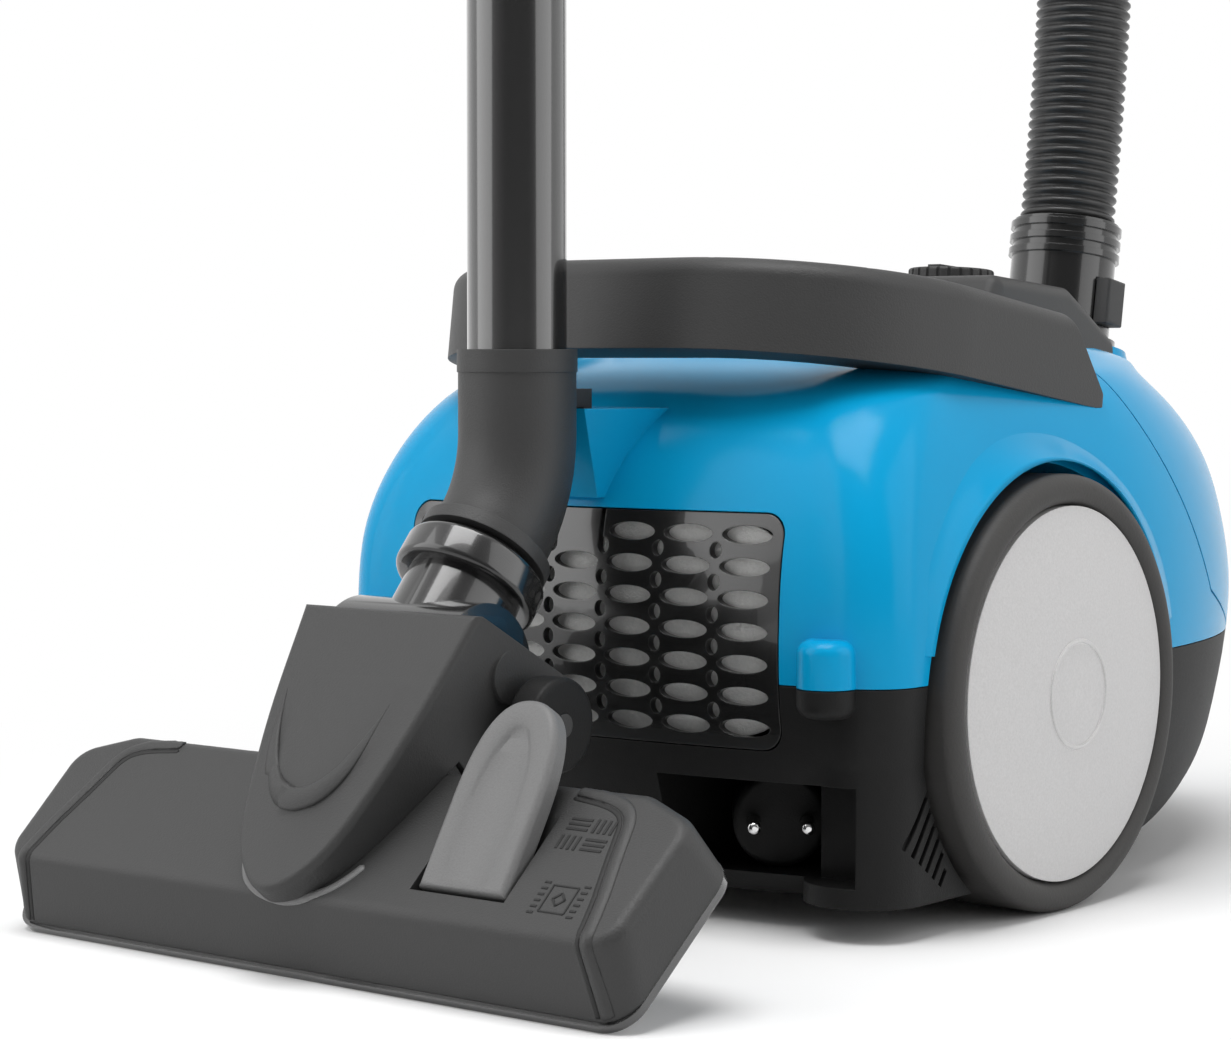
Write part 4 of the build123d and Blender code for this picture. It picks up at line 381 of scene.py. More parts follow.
def glossy(name, code, roughness, ripple, **settings):
    """Polished moulding: a long faint ripple bends its reflections, fine rubbing varies its
    roughness, and edges are rubbed lighter."""
    material, tree, shader = new_finish(name, code, **settings)
    bevel, edge = softened(tree)
    coords = add_node(tree, "ShaderNodeTexCoord")
    wave = add_node(tree, "ShaderNodeTexNoise", {"Vector": coords.outputs["Object"]},
                    Scale=1 / RIPPLE_SIZE, Detail=1.0)
    bump = add_node(tree, "ShaderNodeBump",
                    {"Height": wave.outputs["Fac"], "Normal": bevel.outputs["Normal"]},
                    Strength=ripple, Distance=BUMP_DEPTH)
    rubbed = add_node(tree, "ShaderNodeTexNoise", {"Vector": coords.outputs["Object"]},
                      Scale=1 / RUB_SIZE, Detail=3.0)
    rough = add_node(tree, "ShaderNodeMapRange", {"Value": rubbed.outputs["Fac"]},
                     To_Min=roughness * (1 - RUB_SPREAD), To_Max=roughness * (1 + RUB_SPREAD))
    worn = add_node(tree, "ShaderNodeMixRGB", {"Fac": edge.outputs["Result"]},
                    Color1=linear(code), Color2=tint(code, POLISH_WORN))
    connect(tree, shader, {"Normal": bump.outputs["Normal"],
                           "Roughness": rough.outputs["Result"],
                           "Base Color": worn.outputs["Color"]})
    return material


def fibres(name, code, size):
    """Felted fibre or paper: crossed noise of fibre size gives tone and a soft bump."""
    material, tree, shader = new_finish(name, code, Roughness=0.95, IOR=1.45)
    coords = add_node(tree, "ShaderNodeTexCoord")
    felt = add_node(tree, "ShaderNodeTexNoise", {"Vector": coords.outputs["Object"]},
                    Scale=1 / size, Detail=4.0, Roughness=0.7)
    bump = add_node(tree, "ShaderNodeBump", {"Height": felt.outputs["Fac"]},
                    Strength=0.6, Distance=FELT_DEPTH)
    tone = add_node(tree, "ShaderNodeValToRGB", {"Fac": felt.outputs["Fac"]})
    tone.color_ramp.elements[0].color = tint(code, FELT_DARK)
    tone.color_ramp.elements[1].color = tint(code, FELT_LIGHT)
    connect(tree, shader, {"Normal": bump.outputs["Normal"], "Base Color": tone.outputs["Color"]})
    return material


def brushed(name, code, roughness):
    """Drawn or turned metal: noise stretched along Z leaves fine lines in its roughness."""
    material, tree, shader = new_finish(name, code, Metallic=1.0)
    coords = add_node(tree, "ShaderNodeTexCoord")
    stretch = add_node(tree, "ShaderNodeMapping", {"Vector": coords.outputs["Object"]},
                       Scale=LINE_SCALE)
    lines = add_node(tree, "ShaderNodeTexNoise", {"Vector": stretch.outputs["Vector"]},
                     Scale=1.0, Detail=2.0)
    rough = add_node(tree, "ShaderNodeMapRange", {"Value": lines.outputs["Fac"]},
                     To_Min=roughness * (1 - LINE_SPREAD), To_Max=roughness * (1 + LINE_SPREAD))
    connect(tree, shader, {"Roughness": rough.outputs["Result"]})
    return material


def clear_sight(tree):
    """One for rays that see the background, straight on, mirrored or through glass, and zero for
    rays that only light."""
    path = add_node(tree, "ShaderNodeLightPath")
    mirror = add_node(tree, "ShaderNodeMath",
                      {0: path.outputs["Is Camera Ray"], 1: path.outputs["Is Glossy Ray"]},
                      operation="MAXIMUM")
    clear = add_node(tree, "ShaderNodeMath",
                     {0: mirror.outputs[0], 1: path.outputs["Is Transmission Ray"]},
                     operation="MAXIMUM")
    return clear.outputs[0]


def sweep_paper(code):
    """Floor paper that keeps the object's shadow and turns to plain white further away, for rays
    that see it."""
    material, tree, shader = new_finish("paper_sweep", code, Roughness=0.9)
    coords = add_node(tree, "ShaderNodeTexCoord")
    reach = add_node(tree, "ShaderNodeVectorMath", {0: coords.outputs["Object"]},
                     operation="LENGTH")
    away = add_node(tree, "ShaderNodeMapRange", {"Value": reach.outputs["Value"]},
                    interpolation_type="SMOOTHSTEP",
                    From_Min=FLOOR_FADE[0], From_Max=FLOOR_FADE[1])
    glow = add_node(tree, "ShaderNodeEmission", Strength=BACKDROP_STRENGTH)
    far = add_node(tree, "ShaderNodeMath", {0: away.outputs["Result"], 1: clear_sight(tree)},
                   operation="MULTIPLY")
    sweep = add_node(tree, "ShaderNodeMixShader", {0: far.outputs[0], 1: shader.outputs["BSDF"],
                                                   2: glow.outputs["Emission"]})
    connect(tree, tree.nodes["Material Output"], {"Surface": sweep.outputs["Shader"]})
    return material


FINISHES = {}


def make_finishes(colours):
    """All finishes of the cleaner and its floor, by name."""
    FINISHES.update({
        # Polished blue ABS: soft-edged reflections with a trace of ripple
        "shell": glossy("polished_blue_abs", colours.shell, 0.2, 0.05, IOR=1.22),
        # Spark-eroded dark ABS: matt with a fine sparkle, grain drawn at 0.7 mm so that it shows
        "dark": grained("grained_dark_abs", colours.dark, 0.0007, 0.35, 0.5, 0.08),
        # The same grain on the nearly black lower housing, which shines less
        "base": grained("grained_black_abs", colours.base, 0.0007, 0.3, 0.52, 0.08, ior=1.28),
        # Polished black ABS: a dark mirror with soft edges
        "black": glossy("polished_black_abs", colours.black, 0.2, 0.04, IOR=1.5,
                        Coat_Weight=0.6),
        # Lighter grey ABS with the same grain
        "pedal": grained("grained_grey_abs", colours.pedal, 0.0007, 0.35, 0.48, 0.08),
        # Pale grey polypropylene with a satin mould face
        "disc": grained("satin_grey_polypropylene", colours.disc, 0.0009, 0.12, 0.42, 0.05),
        # Thermoplastic rubber: a dull bloom on the tread
        "tyre": grained("thermoplastic_rubber", colours.tyre, 0.0012, 0.3, 0.6, 0.08),
        # Enamelled steel tube: dark, with long clear reflections
        "tube": glossy("enamelled_steel_tube", colours.tube, 0.18, 0.03, IOR=1.6,
                       Coat_Weight=1.0),
        # Polyethylene hose with a waxy sheen on its ribs
        "hose": grained("blown_polyethylene", colours.hose, 0.002, 0.08, 0.34, 0.05),
        # Needled polyester fleece: loose pale fibres
        "fleece": fibres("needled_polyester_fleece", colours.fleece, 0.0012),
        # Filter paper: cloudy, as paper looks against the light
        "paper": fibres("filter_paper", colours.paper, 0.002),
        # Nylon bristle: dark, with light caught on single hairs
        "bristle": fibres("nylon_bristle", colours.bristle, 0.0008),
        # Plated plug pins: bright, with turning lines
        "chrome": brushed("nickel_plated_brass", colours.plating, 0.12),
        # Drawn steel pins and axles: duller, with drawing lines
        "steel": brushed("drawn_steel", colours.steel, 0.3),
        # Lacquered circuit board: an even green with little grain
        "board": grained("green_circuit_board", colours.board, 0.001, 0.1, 0.5, 0.05),
        # Moulded marks and seam lines, drawn as raised strips coloured near-black: painted shade of
        # the grooves they stand for
        "mark": grained("shadowed_abs", colours.mark, 0.0007, 0.2, 0.6, 0.05),
        # White background paper: matt, without grain
        "floor": sweep_paper(colours.floor),
    })


NODE_FINISHES = {
    "shell": ["upper_housing", "dust_lid"],
    "dark": ["carry_handle", "top_panel", "lid_latch", "wand_elbow", "nozzle_hood", "head_shell",
             "lock_sleeve", "wand_handle", "hose_cuff", "right_release_tab", "left_release_tab",
             "lid_cap", "suction_dial"],
    "base": ["base_housing", "caster_fork", "chamber_wall", "plug_body", "right_roller",
             "left_roller", "caster_wheel"],
    "black": ["exhaust_grille", "hose_connector", "swivel_ring", "nozzle_neck"],
    "pedal": ["nozzle_pedal", "power_pedal", "rewind_pedal", "lock_button", "bleed_slider",
              "motor_housing", "bag_holder", "cord_reel"],
    "disc": ["right_wheel_disc", "left_wheel_disc"],
    "tyre": ["right_tyre", "left_tyre", "lid_seal", "cord_winding"],
    "tube": ["outer_tube", "inner_tube", "sole_plate"],
    "fleece": ["exhaust_filter", "motor_filter"],
    "paper": ["dust_bag"],
    "bristle": ["front_brush_strip", "rear_brush_strip"],
    "chrome": ["plug_pins"],
    "steel": ["right_axle_stub", "left_axle_stub", "lid_hinge_pin", "housing_screws",
              "caster_axle", "pedal_pin", "reel_bracket", "motor_rotor"],
    "board": ["power_board"],
}

# Stuffed pieces: name, the solid each stands for, squareness, crease height and finish
STUFFED = [
    ("exhaust_fleece", "exhaust_filter", 0.3, 0.0003, "fleece"),
    ("motor_fleece", "motor_filter", 0.3, 0.0006, "fleece"),
    ("paper_bag", "dust_bag", 0.45, 0.0025, "paper"),
]


def smoothing_group():
    """Node group that joins the loose triangles of a solid and shades gentle edges smooth."""
    tree = bpy.data.node_groups.new("smooth_solid", "GeometryNodeTree")
    tree.interface.new_socket("Geometry", in_out="INPUT", socket_type="NodeSocketGeometry")
    tree.interface.new_socket("Geometry", in_out="OUTPUT", socket_type="NodeSocketGeometry")
    start = add_node(tree, "NodeGroupInput")
    joined = add_node(tree, "GeometryNodeMergeByDistance", {"Geometry": start.outputs[0]},
                      Distance=TRIANGLE_JOIN)
    angle = add_node(tree, "GeometryNodeInputMeshEdgeAngle")
    gentle = add_node(tree, "FunctionNodeCompare", {"A": angle.outputs["Unsigned Angle"]},
                      operation="LESS_THAN", B=SMOOTH_ANGLE)
    faces = add_node(tree, "GeometryNodeSetShadeSmooth",
                     {"Geometry": joined.outputs["Geometry"]}, domain="FACE")
    edges = add_node(tree, "GeometryNodeSetShadeSmooth",
                     {"Geometry": faces.outputs["Geometry"],
                      "Shade Smooth": gentle.outputs["Result"]}, domain="EDGE")
    add_node(tree, "NodeGroupOutput", {0: edges.outputs["Geometry"]})
    return tree


def set_finish(obj, finish):
    """The object shows this one finish."""
    obj.data.materials.clear()
    obj.data.materials.append(FINISHES[finish])


def new_mesh(name, points, faces, finish, smooth=True, closed=True):
    """A mesh object from arrays of points and faces; a closed one has its poles joined and its
    faces turned out."""
    mesh = bpy.data.meshes.new(name)
    mesh.from_pydata(points.reshape(-1, 3).tolist(), [], faces.reshape(-1, 4).tolist())
    if closed:
        work = bmesh.new()
        work.from_mesh(mesh)
        bmesh.ops.remove_doubles(work, verts=work.verts, dist=POLE_JOIN)
        bmesh.ops.recalc_face_normals(work, faces=work.faces)
        work.to_mesh(mesh)
        work.free()
    if smooth:
        mesh.shade_smooth()
    obj = bpy.data.objects.new(name, mesh)
    bpy.context.scene.collection.objects.link(obj)
    set_finish(obj, finish)
    return obj


def grid_faces(rows, columns):
    """Quads of a grid of rows by columns points that closes on itself along its columns."""
    row, column = np.meshgrid(np.arange(rows - 1), np.arange(columns), indexing="ij")
    after = (column + 1) % columns
    return np.stack([row * columns + column, row * columns + after,
                     (row + 1) * columns + after, (row + 1) * columns + column], axis=-1)


def mesh_points(mesh):
    """The points of a mesh."""
    flat = np.empty(3 * len(mesh.vertices))
    mesh.vertices.foreach_get("co", flat)
    return flat.reshape(-1, 3)


def node_points(name):
    """The points of a solid in the shared frame."""
    turn = np.array(NODES[name].matrix_world)
    return mesh_points(NODES[name].data) @ turn[:3, :3].T + turn[:3, 3]


def path_lengths(path):
    """Distance of each point from the first, along the path."""
    return np.concatenate([[0], np.cumsum(np.linalg.norm(np.diff(path, axis=0), axis=1))])


def even_path(points, count, rounding=0):
    """The line through the points as count even steps, its corners rounded by a running mean."""
    along = path_lengths(points)
    even = np.linspace(0, along[-1], count)
    path = np.stack([np.interp(even, along, axis) for axis in points.T], axis=1)
    if rounding:
        padded = np.pad(path, ((rounding, rounding), (0, 0)), mode="reflect", reflect_type="odd")
        window = np.ones(2 * rounding + 1) / (2 * rounding + 1)
        path = np.stack([np.convolve(axis, window, "valid") for axis in padded.T], axis=1)
    return path


def head_point(x, u, n):
    """Points of the nozzle head from width, depth and height, the last two turned by the tilt."""
    x, u, n = np.broadcast_arrays(x, u, n)
    y = AXLE_Y + HEAD_FRONT_Y + u * cos(TILT) - n * sin(TILT)
    return np.stack([x, y, u * sin(TILT) + n * cos(TILT)], axis=-1)


def drape(name, points, directions):
    """Where lines from the points along their directions first meet a solid, with the normals."""
    node = NODES[name]
    inward = node.matrix_world.inverted()
    turn = inward.to_3x3()
    hits = [node.ray_cast(inward @ Vector(point), turn @ Vector(direction))
            for point, direction in zip(points, np.broadcast_to(directions, points.shape))]
    if not all(hit[0] for hit in hits):
        raise RuntimeError(f"a line misses {name}")
    places = np.array([node.matrix_world @ hit[1] for hit in hits])
    normals = np.array([node.matrix_world.to_3x3() @ hit[2] for hit in hits])
    return places, normals


def cap_line(side, offset):
    """A line round an end cap: over the top of the head, then down its front towards a line
    inside it."""
    top = even_path(CAP_SEAM, CAP_TOP_STEPS, CAP_ROUNDING)
    tangent = np.gradient(top, axis=0)
    square = np.stack([-tangent[:, 1], tangent[:, 0]], axis=1)
    top += offset * square / np.linalg.norm(tangent, axis=1)[:, None]
    over = drape("head_shell", head_point(side * top[:, 0], top[:, 1], OVER_HEAD), -HEAD_UP)
    lean = np.linspace(*CAP_LEAN, CAP_FRONT_STEPS)
    aim = np.cos(lean)[:, None] * HEAD_UP - np.sin(lean)[:, None] * HEAD_BACK
    x = side * (np.linspace(*CAP_FRONT_X, CAP_FRONT_STEPS) + offset)
    down = drape("head_shell", head_point(x, *CAP_HEART) + OFF_CAP * aim, -aim)
    return [np.concatenate(pair) for pair in zip(over, down)]


def bead(name, path, normals, width, height, finish, peak=0.0):
    """Low rounded strip: its section is a parabola about its peak over a flat foot sunk into the
    surface, drawn in at both ends. The width may change along the path."""
    side = np.cross(np.gradient(path, axis=0), normals)
    side /= np.linalg.norm(side, axis=1)[:, None]
    top = np.linspace(-1, 1, BEAD_POINTS)
    across = np.concatenate([top, top[-2:0:-1]])
    reach = np.where(top < peak, 1 + peak, 1 - peak)
    lift = np.concatenate([height * (1 - ((top - peak) / reach) ** 2),
                           np.full(len(top) - 2, -height)])
    width = np.broadcast_to(width, len(path)).copy()
    share = (width / width.max())[:, None]
    share[[0, -1]] = 0
    width[[0, -1]] = 0
    points = path[:, None] + ((width / 2)[:, None] * across)[:, :, None] * side[:, None] \
        + (share * lift)[:, :, None] * normals[:, None]
    return new_mesh(name, points, grid_faces(len(path), len(across)), finish)


def bars(name, rows, height, finish):
    """Raised bars on the head, one for each row of X, depth, half length, half width and angle."""
    x, u, length, width, angle = np.array(rows, float).T[:, :, None]
    corner = np.array(list(product((-1, 1), repeat=3)), float)
    along, over = corner[:, 0] * length, corner[:, 1] * width
    points = head_point(x + along * np.cos(angle) - over * np.sin(angle),
                        u + along * np.sin(angle) + over * np.cos(angle),
                        HEAD_TOP + height * corner[:, 2])
    box = np.array([(0, 1, 3, 2), (4, 6, 7, 5), (0, 4, 5, 1),
                    (2, 3, 7, 6), (0, 2, 6, 4), (1, 5, 7, 3)])
    faces = box + len(corner) * np.arange(len(rows))[:, None, None]
    return new_mesh(name, points, faces, finish, smooth=False)


def floor_signs():
    """Rows of bars for two plain signs: planks that lie and stand by turns, and a fringed rug
    with a diamond."""
    rows = [(x, u + step, LYING_HALF, PLANK_HALF, 0)
            for x, u in LYING_CELLS for step in LYING_STEPS]
    rows += [(x + step, u, STANDING_HALF, PLANK_HALF, pi / 2)
             for x, u in STANDING_CELLS for step in STANDING_STEPS]
    x, u = RUG
    for edge in (-1, 1):
        rows += [(x, u + edge * RUG_HALF_DEPTH, RUG_HALF_X, RUG_LINE, 0),
                 (x + edge * RUG_HALF_X, u, RUG_HALF_DEPTH, RUG_LINE, pi / 2)]
        rows += [(x + edge * FRINGE_OUT, u + step, FRINGE_HALF, FRINGE_LINE, 0)
                 for step in FRINGE_STEPS]
        rows += [(x + edge * lean * DIAMOND_OUT, u + edge * DIAMOND_OUT,
                  DIAMOND_HALF, FRINGE_LINE, -lean * pi / 4) for lean in (-1, 1)]
    return rows


def arch_flare(word, side, sizes):
    """Flare over a wheel: from a circle on the body it narrows to the lip, standing out as the
    square of the way, and comes back underneath at its thickness."""
    turn = np.linspace(*FLARE_SPAN, FLARE_STEPS)
    ring = np.stack([0 * turn, np.cos(turn), np.sin(turn)], axis=1)
    centre = np.array([side * FLARE_START, AXLE_Y, WHEEL_Z])
    start = drape("upper_housing", centre + sizes.arch_outer * ring, (-side, 0, 0))[0]
    body_x = np.abs(start[:, 0])
    lip_x = np.abs(node_points(f"{word}_tyre")[:, 0]).max() - sizes.arch_back
    out = np.maximum(lip_x - body_x, FLARE_LEAST)
    way = np.concatenate([np.linspace(0, 1, FLARE_ROWS), np.linspace(1, 0, FLARE_ROWS)])
    under = np.repeat([0, FLARE_THICK], FLARE_ROWS)
    radius = sizes.arch_outer + (sizes.arch_inner - sizes.arch_outer) * way
    points = centre * (0, 1, 1) + radius[:, None] * ring[:, None]
    points[:, :, 0] = side * (body_x[:, None] + out[:, None] * way ** 2
                              - FLARE_SINK * (1 - way) - under)
    points[[0, -1]] = points[[0, -1]].mean(axis=1, keepdims=True)
    return new_mesh(f"{word}_arch_flare", points, grid_faces(len(turn), len(radius)), "shell")


def power(angle, exponent):
    """Cosine and sine with their size raised to an exponent, which squares a circle's corners."""
    wave = np.stack([np.cos(angle), np.sin(angle)])
    return np.sign(wave) * np.abs(wave) ** exponent


def wave_between(x, z, lengths):
    """Sine wave whose phase adds X and Z, each divided by its own length."""
    return np.sin(x / lengths[0] + z / lengths[1])


def pillow(name, node, exponent, crease, finish):
    """Stuffed form in a solid's box: a squared ellipsoid, creased by two long sine waves that
    cross and a short one. A bent pad follows a polynomial fitted to the solid instead."""
    solid = node_points(node)
    low, high = solid.min(axis=0), solid.max(axis=0)
    middle, half = (low + high) / 2, (high - low) / 2
    ring, rise = power(np.linspace(-pi / 2, pi / 2, PAD_ROWS), exponent)
    turn_y, turn_z = power(np.linspace(0, 2 * pi, PAD_COLUMNS, endpoint=False), exponent)
    x = np.broadcast_to(rise[:, None], (PAD_ROWS, PAD_COLUMNS)) * half[0]
    y = ring[:, None] * turn_y
    z = ring[:, None] * turn_z * half[2]
    folds = crease * (wave_between(x, z, LONG_CREASE) * wave_between(x, z, CROSS_CREASE)
                      + SHORT_SHARE * wave_between(x, z, SHORT_CREASE))
    if BENT_PAD[0] < high[1] - low[1] < BENT_PAD[1]:
        across, up = solid[:, 0], solid[:, 2]
        terms = np.stack([across ** 0, across ** 2, across ** 4, up, up ** 2], axis=1)
        fit = np.linalg.lstsq(terms, solid[:, 1], rcond=None)[0]
        height = z + middle[2]
        y = fit[0] + fit[1] * x ** 2 + fit[2] * x ** 4 + fit[3] * height + fit[4] * height ** 2 \
            + BENT_HALF * y + folds
    else:
        y = middle[1] + y * (half[1] - crease) + folds * np.sign(y)
    points = np.stack([x + middle[0], y, z + middle[2]], axis=-1)
    return new_mesh(name, points, grid_faces(PAD_ROWS, PAD_COLUMNS), finish)


def tufts(name, node, pitch):
    """Bristle strip: staggered rows of four-sided tufts that taper from their bar to their tips."""
    local = node_points(node) - head_point(0, 0, 0)
    depth, height = local @ HEAD_BACK, local @ HEAD_UP
    half = local[:, 0].max()
    rows = np.linspace(depth.min() + TUFT_INSET, depth.max() - TUFT_INSET, TUFT_ROWS)
    grids = np.meshgrid(np.arange(-half + pitch, half - pitch, pitch), rows)
    x, u = (grid.ravel()[:, None, None] for grid in grids)
    x = x + pitch / 4 * np.sign(u - rows[1])
    turn = np.arange(TUFT_SIDES) * 2 * pi / TUFT_SIDES
    radius = TUFT_RADIUS[:, None]
    level = height.max() + (height.min() - height.max()) * TUFT_WAY[:, None]
    points = head_point(x + radius * np.cos(turn), u + radius * np.sin(turn), level + 0 * turn)
    first = TUFT_SIDES * len(TUFT_RADIUS) * np.arange(len(x))[:, None, None, None]
    return new_mesh(name, points, grid_faces(len(TUFT_RADIUS), TUFT_SIDES) + first, "bristle")


def route_points(count):
    """Points of the hose's line, read from a NURBS spline and spread evenly along it, and the
    length of the line."""
    curve = bpy.data.curves.new("hose_route", "CURVE")
    curve.dimensions = "3D"
    curve.resolution_u = 24
    spline = curve.splines.new("NURBS")
    spline.points.add(len(HOSE_ROUTE) - 1)
    y, z = HOSE_ROUTE.T
    spline.points.foreach_set("co", np.stack([0 * y, AXLE_Y + y, z, 1 + 0 * y], axis=1).ravel())
    spline.order_u = 3
    spline.use_endpoint_u = True
    holder = bpy.data.objects.new("hose_route", curve)
    bpy.context.scene.collection.objects.link(holder)
    line = bpy.data.meshes.new_from_object(holder)
    points = mesh_points(line)
    bpy.data.objects.remove(holder)
    bpy.data.meshes.remove(line)
    return even_path(points, count), path_lengths(points)[-1]


def ribbed_tube(name, path, along, sizes):
    """Hose stretch: circles square to the path, whose radius swings between root and crest once
    a rib, counted along the whole hose so that the ribs run on from one stretch to the next."""
    tangent = np.gradient(path, axis=0)
    tangent /= np.linalg.norm(tangent, axis=1)[:, None]
    across = np.array([1.0, 0.0, 0.0])
    up = np.cross(tangent, across)
    wave = 0.5 - 0.5 * np.cos(2 * pi * along / sizes.rib_pitch)
    radius = sizes.hose_root + (sizes.hose_crest - sizes.hose_root) * wave ** RIB_POWER
    turn = np.linspace(0, 2 * pi, sizes.hose_sides, endpoint=False)
    ring = np.cos(turn)[None, :, None] * across + np.sin(turn)[None, :, None] * up[:, None, :]
    points = path[:, None, :] + radius[:, None, None] * ring
    return new_mesh(name, points, grid_faces(len(path), sizes.hose_sides), "hose", closed=False)


def add_holder(scene, name, data, place, turn):
    """A lamp or camera object in its place."""
    holder = bpy.data.objects.new(name, data)
    holder.location = place
    holder.rotation_euler = turn
    scene.collection.objects.link(holder)
    return holder


def studio_world():
    """White world for rays that see it, dimmer on the camera's side for mirrored ones, and a low
    fill for rays that only light."""
    world = bpy.data.worlds.new("studio")
    world.use_nodes = True
    sky = world.node_tree
    around = add_node(sky, "ShaderNodeTexCoord")
    facing = add_node(sky, "ShaderNodeVectorMath", {0: around.outputs["Generated"]},
                      operation="DOT_PRODUCT")
    facing.inputs[1].default_value = CAMERA_SIDE
    room = add_node(sky, "ShaderNodeMapRange", {"Value": facing.outputs["Value"]},
                    From_Min=0.0, From_Max=CAMERA_SIDE_TURN,
                    To_Min=BACKDROP_STRENGTH, To_Max=CAMERA_SIDE_STRENGTH)
    path = add_node(sky, "ShaderNodeLightPath")
    backdrop = add_node(sky, "ShaderNodeMath",
                        {0: room.outputs["Result"], 1: path.outputs["Is Camera Ray"]},
                        operation="MAXIMUM")
    seen = add_node(sky, "ShaderNodeMix",
                    {"Factor": clear_sight(sky), "B": backdrop.outputs[0]}, A=FILL_STRENGTH)
    background = sky.nodes["Background"]
    background.inputs["Color"].default_value = (1, 1, 1, 1)
    connect(sky, background, {"Strength": seen.outputs[0]})
    return world


class VACUUM_OT_finishes(bpy.types.Operator):
    """Give every solid its finish and smooth its shading"""
    bl_idname = "vacuum.finishes"
    bl_label = "Finishes"

    def execute(self, context):
        make_finishes(context.scene.vacuum_colours)
        group = smoothing_group()
        for finish, names in NODE_FINISHES.items():
            for name in names:
                set_finish(NODES[name], finish)
                NODES[name].modifiers.new("smooth", "NODES").node_group = group
        return {"FINISHED"}


class VACUUM_OT_hose(bpy.types.Operator):
    """Draw the ribbed hose as two stretches that follow the lid and the wand"""
    bl_idname = "vacuum.hose"
    bl_label = "Hose"

    def execute(self, context):
        sizes = context.scene.vacuum_sizes
        path, length = route_points(HOSE_POINTS)
        off = np.where(path[:, 1] < FRONT_Y, np.inf, np.abs(path[:, 2] - MEETING_Z))
        middle = int(np.argmin(off))
        along = path_lengths(path)
        lower = ribbed_tube("hose_lower", path[:middle + 1], along[:middle + 1], sizes)
        upper = ribbed_tube("hose_upper", path[middle:], along[middle:], sizes)
        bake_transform(lower)
        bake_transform(upper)
        for piece in (lower, upper):
            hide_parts("hose")
        return {"FINISHED"}


class VACUUM_OT_mouldings(bpy.types.Operator):
    """Draw the fine mouldings: cap seams and ribs, wheel flares, rim, crescent and floor marks"""
    bl_idname = "vacuum.mouldings"
    bl_label = "Mouldings"

    def execute(self, context):
        sizes = context.scene.vacuum_sizes
        for word, side in (("right", 1), ("left", -1)):
            # Seam drawn as a low raised strip; its near-black finish is painted shade of the groove
            seam = bead(f"{word}_cap_seam", *cap_line(side, 0),
                        sizes.seam_width, SEAM_HEIGHT, "mark")
            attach(seam, "nozzle")
            rib = bead(f"{word}_cap_rib", *cap_line(side, RIB_OFFSET),
                       sizes.rib_width, RIB_HEIGHT, "dark")
            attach(rib, "nozzle")
            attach(arch_flare(word, side, sizes), "canister")
        x, u = even_path(TIP_RIM, RIM_STEPS, RIM_ROUNDING).T
        rim = bead("hood_tip_rim", *drape("head_shell", head_point(x, u, OVER_HEAD), -HEAD_UP),
                   sizes.rim_width, RIM_HEIGHT, "pedal")
        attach(rim, "nozzle")
        x, u = even_path(CRESCENT, CRESCENT_STEPS, CRESCENT_ROUNDING).T
        swell = np.sin(np.linspace(0, pi, CRESCENT_STEPS)) ** CRESCENT_TAPER
        crescent = bead("hood_crescent",
                        *drape("nozzle_hood", head_point(x, u, OVER_HOOD), -HEAD_UP),
                        sizes.crescent_width * swell, CRESCENT_HEIGHT, "dark",
                        peak=CRESCENT_PEAK)
        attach(crescent, "nozzle")
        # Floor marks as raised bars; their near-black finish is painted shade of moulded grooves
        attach(bars("floor_marks", floor_signs(), sizes.mark_height, "mark"), "nozzle")
        return {"FINISHED"}


class VACUUM_OT_soft(bpy.types.Operator):
    """Draw the exhaust fleece, the motor filter, the dust bag and the bristles"""
    bl_idname = "vacuum.soft"
    bl_label = "Soft pieces"

    def execute(self, context):
        sizes = context.scene.vacuum_sizes
        for name, node, exponent, crease, finish in STUFFED:
            pad = pillow(name, node, exponent, crease, finish)
            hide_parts(node)
            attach(pad, "canister")
        for word in ("front", "rear"):
            strip = tufts(f"{word}_bristles", f"{word}_brush_strip", sizes.tuft_pitch)
            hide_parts(f"{word}_brush_strip")
            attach(strip, f"{word}_brush")
        return {"FINISHED"}


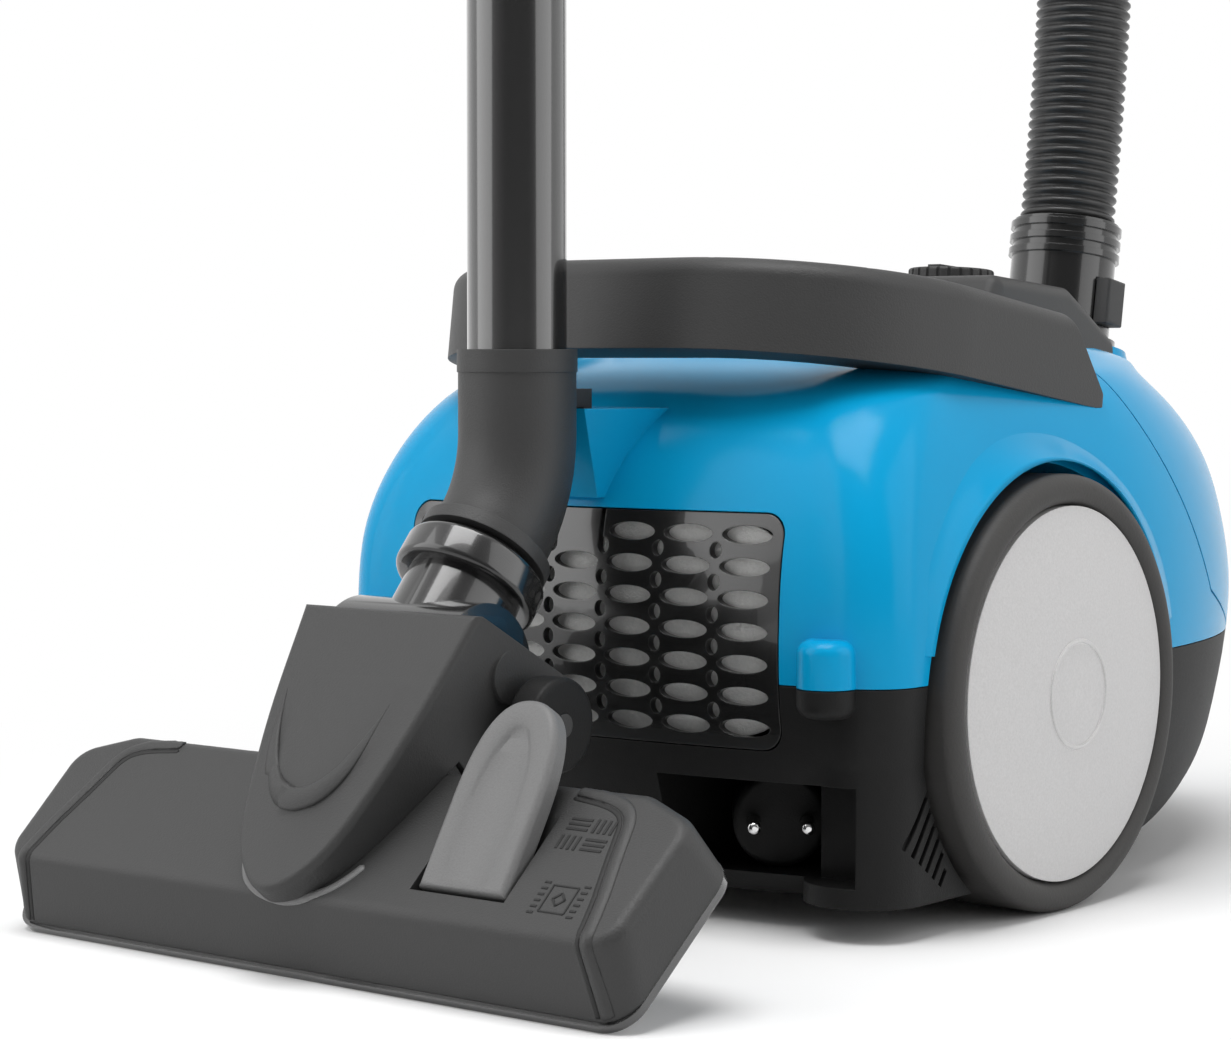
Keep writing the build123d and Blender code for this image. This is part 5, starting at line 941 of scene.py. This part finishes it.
class VACUUM_OT_stage(bpy.types.Operator):
    """Set the floor, the light and the camera"""
    bl_idname = "vacuum.stage"
    bl_label = "Stage"

    def execute(self, context):
        scene = context.scene
        scene.view_settings.view_transform = "Standard"
        corners = FLOOR_HALF * np.array([(-1, -1, 0), (1, -1, 0), (1, 1, 0), (-1, 1, 0)], float)
        floor = new_mesh("floor", corners, np.array([(0, 1, 2, 3)]), "floor", closed=False)
        scene.world = studio_world()
        for name, place, size, watts in LAMPS:
            lamp = bpy.data.lights.new(name, "AREA")
            lamp.shape = "RECTANGLE"
            lamp.size, lamp.size_y = size
            lamp.energy = watts
            aim = LAMP_AIM - Vector(place)
            add_holder(scene, name, lamp, place, aim.to_track_quat("-Z", "Y").to_euler())
        camera = bpy.data.cameras.new("camera")
        camera.sensor_width = SENSOR
        camera.lens = SENSOR * FOCAL_PIXELS / FRAME_PIXELS
        scene.camera = add_holder(scene, "camera", camera, CAMERA_PLACE, CAMERA_TURN)
        return {"FINISHED"}


class VACUUM_PT_panel(bpy.types.Panel):
    """Lists the steps that dress the cleaner"""
    bl_idname = "VACUUM_PT_panel"
    bl_label = "Vacuum cleaner"
    bl_space_type = "VIEW_3D"
    bl_region_type = "UI"
    bl_category = "Vacuum"

    def draw(self, context):
        for step in STEPS:
            self.layout.operator(step.bl_idname)


STEPS = [VACUUM_OT_finishes, VACUUM_OT_hose, VACUUM_OT_mouldings, VACUUM_OT_soft, VACUUM_OT_stage]
CLASSES = [VacuumSizes, VacuumColours, *STEPS, VACUUM_PT_panel]


def register():
    for cls in CLASSES:
        bpy.utils.register_class(cls)
    bpy.types.Scene.vacuum_sizes = bpy.props.PointerProperty(type=VacuumSizes)
    bpy.types.Scene.vacuum_colours = bpy.props.PointerProperty(type=VacuumColours)


def unregister():
    del bpy.types.Scene.vacuum_colours
    del bpy.types.Scene.vacuum_sizes
    for cls in reversed(CLASSES):
        bpy.utils.unregister_class(cls)


def main():
    """Dress the loaded frame step by step."""
    register()
    bpy.ops.vacuum.finishes()
    bpy.ops.vacuum.hose()
    bpy.ops.vacuum.mouldings()
    bpy.ops.vacuum.soft()
    bpy.ops.vacuum.stage()


if __name__ == "__main__":
    main()
